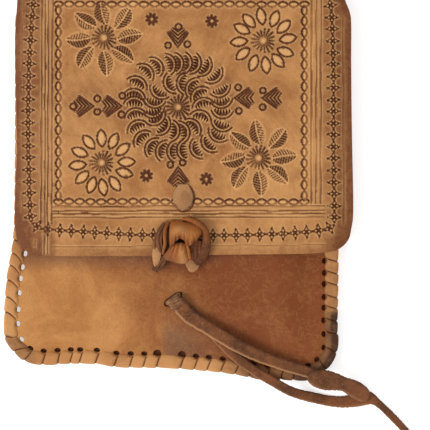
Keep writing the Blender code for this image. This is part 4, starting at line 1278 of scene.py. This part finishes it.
def ribbon(name, hide, shape, route, *nodes):
    """A bent strip of leather along rows of x, y, height and width.

    Its shape is its thickness, its arch, its pleats and their height, its tone, how dark the painted shade at
    its rims is, and how much darker it gets on its way. Its pleats' valleys get painted shade too.
    """
    thickness, arch, pleats, pleat_height, tone, rim_shade, fade = shape
    rows = curve_through(route, 0.55)
    middles = rows[:, :3]
    forward = np.gradient(middles, axis=0)
    flat = np.hypot(forward[:, 0], forward[:, 1])
    side = np.stack([-forward[:, 1] / flat, forward[:, 0] / flat, np.zeros(len(rows))], 1)
    across = np.linspace(-1.0, 1.0, 25)
    grid = middles[:, None] + side[:, None] * (rows[:, 3] / 2)[:, None, None] * across[None, :, None]
    share = np.linspace(0.0, 1.0, len(rows))[:, None]
    fold = pleat_height * np.cos(pi * (pleats * across[None] + 0.35 * np.sin(5 * share)))
    grid[:, :, 2] += arch * (1 - across[None] ** 2) + fold
    # Painted shade along both rims, with a pale cut edge there too
    rim = smooth((np.abs(across)[None] - 0.72) / 0.25)
    # Painted shade in the pleats' valleys
    crease_shade = smooth(-fold / max(pleat_height, 0.01) - 0.2) * (pleats > 0)
    piece = shell(name, grid, thickness, dye=np.maximum(rim_shade * rim, 0.75 * crease_shade), cut=0.4 * rim,
                  tone=np.clip(tone + fade * share, 0.0, 1.0), rub=0.0, grey=0.0)
    return dressed(piece, hide, "flap", *nodes)


def between_curves(first, last, rows, columns):
    """A grid of plan points from one curve to another, with its shares across, -1 to 1, and down, 0 to 1."""
    ends = []
    for curve in (first, last):
        fine = curve_through(curve, 0.2)
        at = np.linspace(0, len(fine) - 1, columns)
        ends.append(np.stack([np.interp(at, np.arange(len(fine)), c) for c in fine.T], 1))
    v = np.linspace(0.0, 1.0, rows)[:, None]
    plan = ends[0][None] * (1 - v[:, :, None]) + ends[1][None] * v[:, :, None]
    return plan, np.linspace(-1.0, 1.0, columns)[None], v


def make_arch(hide):
    """The smooth roll over the knot, pleated towards its mouth."""
    top = [
        (-6.2, -38.0), (-4.9, -34.9), (-0.6, -34.8), (3.6, -35.7), (9.0, -36.4), (14.0, -38.3),
        (15.9, -41.5),
    ]
    low = [
        (-6.6, -49.0), (-4.9, -52.2), (-1.8, -48.8), (1.5, -46.9), (4.6, -49.0), (6.8, -51.6),
        (9.6, -50.2), (12.9, -47.2), (15.9, -43.6),
    ]
    plan, u, v = between_curves(top, low, 34, 61)
    crown = np.sin(pi * (0.03 + 0.67 * v)) ** 0.75 * (1 - np.abs(u) ** 3.2) ** 0.5
    strength = smooth((v - 0.55) / 0.45) * (1 - np.abs(u) ** 4)
    fold = np.cos(2 * pi * (3.6 * u + 0.5 * np.sin(2.3 * u + 0.8) + 0.3 * v))
    small = np.cos(2 * pi * (7.3 * u + 0.8 * np.sin(3.1 * v + 2.0 * u)))
    z = 17.1 + 12.7 * crown + 0.6 * strength * fold + 0.25 * np.sin(4 * u + 3 * v)
    z += 0.16 * small * smooth(v / 0.3) * (1 - np.abs(u) ** 4)
    # Painted shade in the pleats' valleys and small wrinkles
    crease_shade = np.maximum(strength * smooth((-fold - 0.35) / 0.6), 0.25 * smooth((-small - 0.5) / 0.5))
    # Painted shade along both curled edges, in the tone and the dye
    rim = smooth((np.abs(u) - 0.90) / 0.1)
    tone = 0.25 + 0.35 * smooth((v - 0.55) / 0.5) + 0.3 * rim
    # Painted highlight on the crown
    rub = 0.38 * np.exp(-((v - 0.45) / 0.22) ** 2 - ((u + 0.25) / 0.55) ** 2)
    dye = np.maximum(0.8 * crease_shade, 0.7 * rim)
    arch = shell("knot_arch", np.dstack([plan, z]), 1.5, dye=dye, tone=tone, rub=rub, grey=0.0)
    dressed(arch, hide, "flap")


def make_fan(hide):
    """The pleated end that spreads below the mouth."""
    inner = [(-5.2, -52.4), (-2.0, -50.4), (1.5, -49.8), (4.5, -50.0), (6.4, -50.6)]
    outer = [
        (-11.0, -59.3), (-8.0, -61.2), (-4.9, -61.9), (-1.5, -62.9), (1.9, -63.4), (5.0, -63.3),
        (8.0, -62.2),
    ]
    plan, u, v = between_curves(inner, outer, 26, 57)
    fold = np.cos(2 * pi * (1.7 * u + 0.45 * np.sin(2.6 * u + 0.9) + 0.3 * v))
    z = 17.7 + 6.0 * (1 - v) ** 1.3 + 2.4 * (1 - u ** 2) + 0.42 * fold * smooth((1.1 - v) / 0.9)
    # Painted shade in the pleats' valleys, darkest at the mouth
    crease_shade = 0.7 * smooth((-fold - 0.6) / 0.4) * smooth((0.85 - v) / 0.7)
    crease_shade = np.maximum(crease_shade, 0.9 * smooth((0.24 - v) / 0.22))
    # Painted highlight on the right of the fan
    rub = 0.35 * np.exp(-((u - 0.45) / 0.3) ** 2) * smooth((v - 0.15) / 0.3) * (1 - crease_shade)
    # Painted shade along both side edges
    dye = np.maximum(0.8 * crease_shade, 0.45 * smooth((np.abs(u) - 0.86) / 0.14))
    grey = 0.18 * smooth((0.2 - u) / 1.0)
    fan = shell("knot_fan", np.dstack([plan, z]), 1.3, dye=dye, tone=0.3 + 0.25 * v, rub=rub, grey=grey)
    dressed(fan, hide, "flap")


def make_knot(rolled, painted_shade, rough, pale):
    core = [
        (-1.0, -36.5, 17.6, 13.0), (0.5, -41.0, 18.0, 21.0), (1.5, -47.0, 18.2, 25.0),
        (2.0, -53.0, 17.8, 23.0), (3.0, -58.5, 17.4, 12.0),
    ]
    # A dark sheet inside the knot is painted shade for its mouth
    ribbon("knot_shade_core", painted_shade, (0.9, 1.2, 0, 0.0, 1.0, 0.5, 0.0), core, "toggle_knot")
    make_arch(rolled)
    make_fan(rolled)
    for name, hide, shape, route in (
        ("knot_strip_inner", rolled, (1.3, 0.9, 0, 0.0, 0.35, 0.7, 0.0),
         [
             (-6.6, -36.0, 20.0, 2.4), (-8.4, -40.0, 22.0, 2.6), (-9.0, -45.0, 22.6, 2.6),
             (-8.8, -50.0, 21.6, 2.6), (-9.6, -54.0, 19.6, 2.4), (-10.4, -57.6, 18.4, 2.0),
         ]),
        ("knot_strip_outer", rough, (1.3, 0.8, 2, 0.25, 0.5, 0.5, 0.0),
         [
             (-8.6, -36.4, 19.0, 3.0), (-10.8, -40.0, 20.4, 4.0), (-12.8, -44.5, 20.8, 4.8),
             (-13.8, -49.0, 20.6, 5.6), (-13.4, -53.0, 19.6, 6.0), (-12.0, -56.6, 18.8, 4.0),
         ]),
        ("knot_tail_left", pale, (1.3, 0.6, 0, 0.0, 0.4, 0.25, 0.0),
         [
             (-14.4, -51.6, 19.6, 3.4), (-14.4, -54.2, 19.5, 5.2), (-14.4, -57.4, 19.2, 5.9),
             (-14.6, -60.6, 18.8, 5.0), (-15.0, -63.4, 18.5, 3.4), (-15.4, -65.4, 18.3, 1.2),
         ]),
        ("knot_tail_small", rough, (1.2, 0.3, 3, 0.3, 0.9, 0.9, 0.0),
         [
             (-8.8, -59.0, 18.2, 3.4), (-10.8, -61.6, 18.1, 5.6), (-12.8, -64.2, 18.0, 6.4),
             (-14.5, -66.6, 17.9, 5.0), (-15.5, -68.2, 17.8, 2.2),
         ]),
        ("knot_band", rolled, (1.5, 1.5, 0, 0.0, 0.25, 0.7, 0.9),
         [
             (2.6, -34.0, 18.6, 2.0), (7.0, -34.4, 20.6, 3.6), (12.2, -36.6, 22.0, 4.8),
             (16.3, -40.4, 22.4, 5.2), (18.3, -45.4, 22.0, 5.6), (18.2, -51.2, 21.0, 6.2),
             (16.6, -56.6, 19.6, 7.2), (13.4, -60.8, 18.6, 7.0), (10.8, -63.2, 18.1, 5.4),
         ]),
        ("knot_pleats", rolled, (1.3, 0.8, 3, 0.45, 0.85, 0.8, 0.0),
         [
             (12.6, -48.0, 21.0, 6.0), (11.8, -52.5, 20.4, 9.0), (11.4, -57.5, 19.4, 9.0),
             (10.8, -61.5, 18.6, 7.0),
         ]),
        ("knot_fold", rolled, (1.4, 0.9, 0, 0.0, 0.35, 0.6, 0.0),
         [(4.9, -48.4, 24.4, 1.8), (6.1, -52.0, 23.6, 2.2), (7.0, -56.5, 21.6, 2.4),
          (7.6, -60.4, 19.6, 2.0)]),
        ("knot_tail_right", pale, (1.3, 0.5, 0, 0.0, 0.3, 0.25, 0.0),
         [(9.6, -59.6, 17.8, 6.0), (9.4, -62.6, 18.3, 9.6), (8.9, -66.2, 18.3, 7.4),
          (8.2, -69.0, 18.0, 2.4)]),
    ):
        ribbon(name, hide, shape, route)


def make_tab(hide):
    """The oval tab on the flap, and its lace that runs behind the flap to the knot."""
    tab = [
        (3.1, -11.0, 17.7, 5.8), (3.1, -13.6, 17.8, 9.4), (3.0, -17.0, 17.9, 12.4),
        (3.0, -20.4, 17.9, 13.2), (3.0, -23.4, 17.8, 11.4), (2.8, -26.2, 17.7, 6.4),
        (2.7, -28.6, 17.6, 1.4),
    ]
    ribbon("tab", hide, (0.95, 0.25, 0, 0.0, 0.0, 0.35, 0.0), tab, "toggle_thong")
    x, top, low = TOGGLE[0], TAB_TOP_Y, TOGGLE[1]
    rows = [(top - 3.0, 17.3, 0.0, 0.6), (top - 0.4, 17.2, 0.35, 0.5), (top, 15.5, 0.6, 0.0),
            (top - 0.4, 13.6, 0.4, -0.4), (top - 3.0, 13.2, 0.0, -0.6), (top - 14.0, 13.2, 0.0, -0.6),
            (top - 27.0, 13.2, 0.0, -0.6), (low + 3.0, 13.2, 0.0, -0.6), (low + 0.4, 13.6, -0.4, -0.4),
            (low, 15.5, -0.6, 0.0), (low, 18.6, -0.6, 0.0)]
    middles = [(x, y, z) for y, z, _, _ in rows]
    ups = [(0.0, y, z) for _, _, y, z in rows]
    dressed(strap("toggle_lace", middles, [(-3.2, 0.0, 0.0)] * len(rows), ups), hide, "flap")


def make_anchor(hide):
    """The knotted end in the pocket and the rough stub that stands out of the slit."""
    side = np.array([cos(LOOP_TURN), sin(LOOP_TURN), 0.0])
    ahead = np.array([sin(LOOP_TURN), -cos(LOOP_TURN), 0.0])
    spot = np.array([*LOOP_EXIT, 0.0])
    up = np.array([0.0, 0.0, 1.0])
    # How far ahead of the slit, the height, the lean and half the width
    stub = np.array([
        (-0.3, 8.2, 0.0, 6.0), (-0.3, 10.5, 0.0, 6.0), (-0.2, 12.6, 0.0, 5.8), (0.0, 14.4, 0.1, 5.2),
        (0.4, 15.9, 0.35, 4.6), (1.4, 17.0, 0.8, 4.3), (2.9, 17.7, 1.3, 4.5), (4.8, 17.6, 1.57, 4.8),
        (6.6, 17.2, 1.6, 4.4),
    ])
    count = 5 * (len(stub) - 1) + 1
    at = np.linspace(0.0, len(stub) - 1.0, count)
    reach, height, lean, width = (np.interp(at, np.arange(len(stub)), column)[:, None] for column in stub.T)
    middles = spot + ahead * reach + up * height + side * CHANCE.uniform(-0.35, 0.35, count)[:, None]
    sides = -side * width * (1 + CHANCE.uniform(-0.12, 0.12, count))[:, None]
    thick = 1.4 + CHANCE.uniform(-0.3, 0.45, count)[:, None]
    ups = (up * np.sin(lean) - ahead * np.cos(lean)) * thick
    points = count * len(STRAP_SECTION)
    cut, dye = CHANCE.uniform(0.0, 0.9, points), CHANCE.uniform(0, 0.8, points)
    dressed(strap("loop_start", middles, sides, ups, cut, dye), hide, "bag", "loop_anchor")
    plate = [spot + side * reach + up * 8.9 for reach in np.linspace(-8.4, 8.4, 9)]
    dressed(strap("loop_end", plate, [ahead * 3.4] * 9, [up * 0.95] * 9), hide, "bag")


rolled_hide = leather_finish(
    "Rolled leather", [(172, 102, 42), (144, 80, 32), (84, 44, 22), (128, 90, 62)], 1300.0, 0.45)
# A dark hide for the painted shade inside the knot
shade_hide = leather_finish(
    "Painted shade leather", [(84, 46, 22), (74, 40, 18), (54, 28, 12), (50, 34, 24)], 1300.0)
pale_suede = suede_finish("Pale suede", [(216, 168, 122), (184, 132, 86), (150, 103, 64)], 1100.0)
make_knot((rolled_hide, "rolled_leather"), (shade_hide, "rolled_leather"), rough_suede, pale_suede)
make_tab(pale_suede)
make_anchor(rough_suede)


# Floor and light

def make_floor():
    bpy.ops.mesh.primitive_plane_add(size=8.0, location=(0.0, 0.0, 0.0))
    floor = bpy.context.object
    floor.name = "Floor"
    paper = bpy.data.materials.new("White paper")
    paper.use_nodes = True
    inputs = paper.node_tree.nodes["Principled BSDF"].inputs
    inputs["Base Color"].default_value = (0.80, 0.80, 0.80, 1.0)
    inputs["Emission Color"].default_value = WHITE
    inputs["Emission Strength"].default_value = 0.54
    inputs["Roughness"].default_value = 0.9
    inputs["Specular IOR Level"].default_value = 0.1
    floor.data.materials.append(paper)


def make_studio():
    """Soft light from all round, and one large lamp from the lower left."""
    scene = bpy.context.scene
    scene.world = bpy.data.worlds.new("Studio")
    scene.world.use_nodes = True
    sky = scene.world.node_tree.nodes["Background"].inputs
    sky["Color"].default_value = WHITE
    sky["Strength"].default_value = 0.72
    scene.view_settings.view_transform = "Standard"
    light = bpy.data.lights.new("Key", "AREA")
    light.shape = "DISK"
    light.size = 1.2
    light.energy = 34.0
    lamp = bpy.data.objects.new("Key", light)
    lamp.location = (-1.5, -0.8, 1.5)
    lamp.rotation_euler = (-lamp.location).to_track_quat("-Z", "Y").to_euler()
    scene.collection.objects.link(lamp)


make_floor()
make_studio()
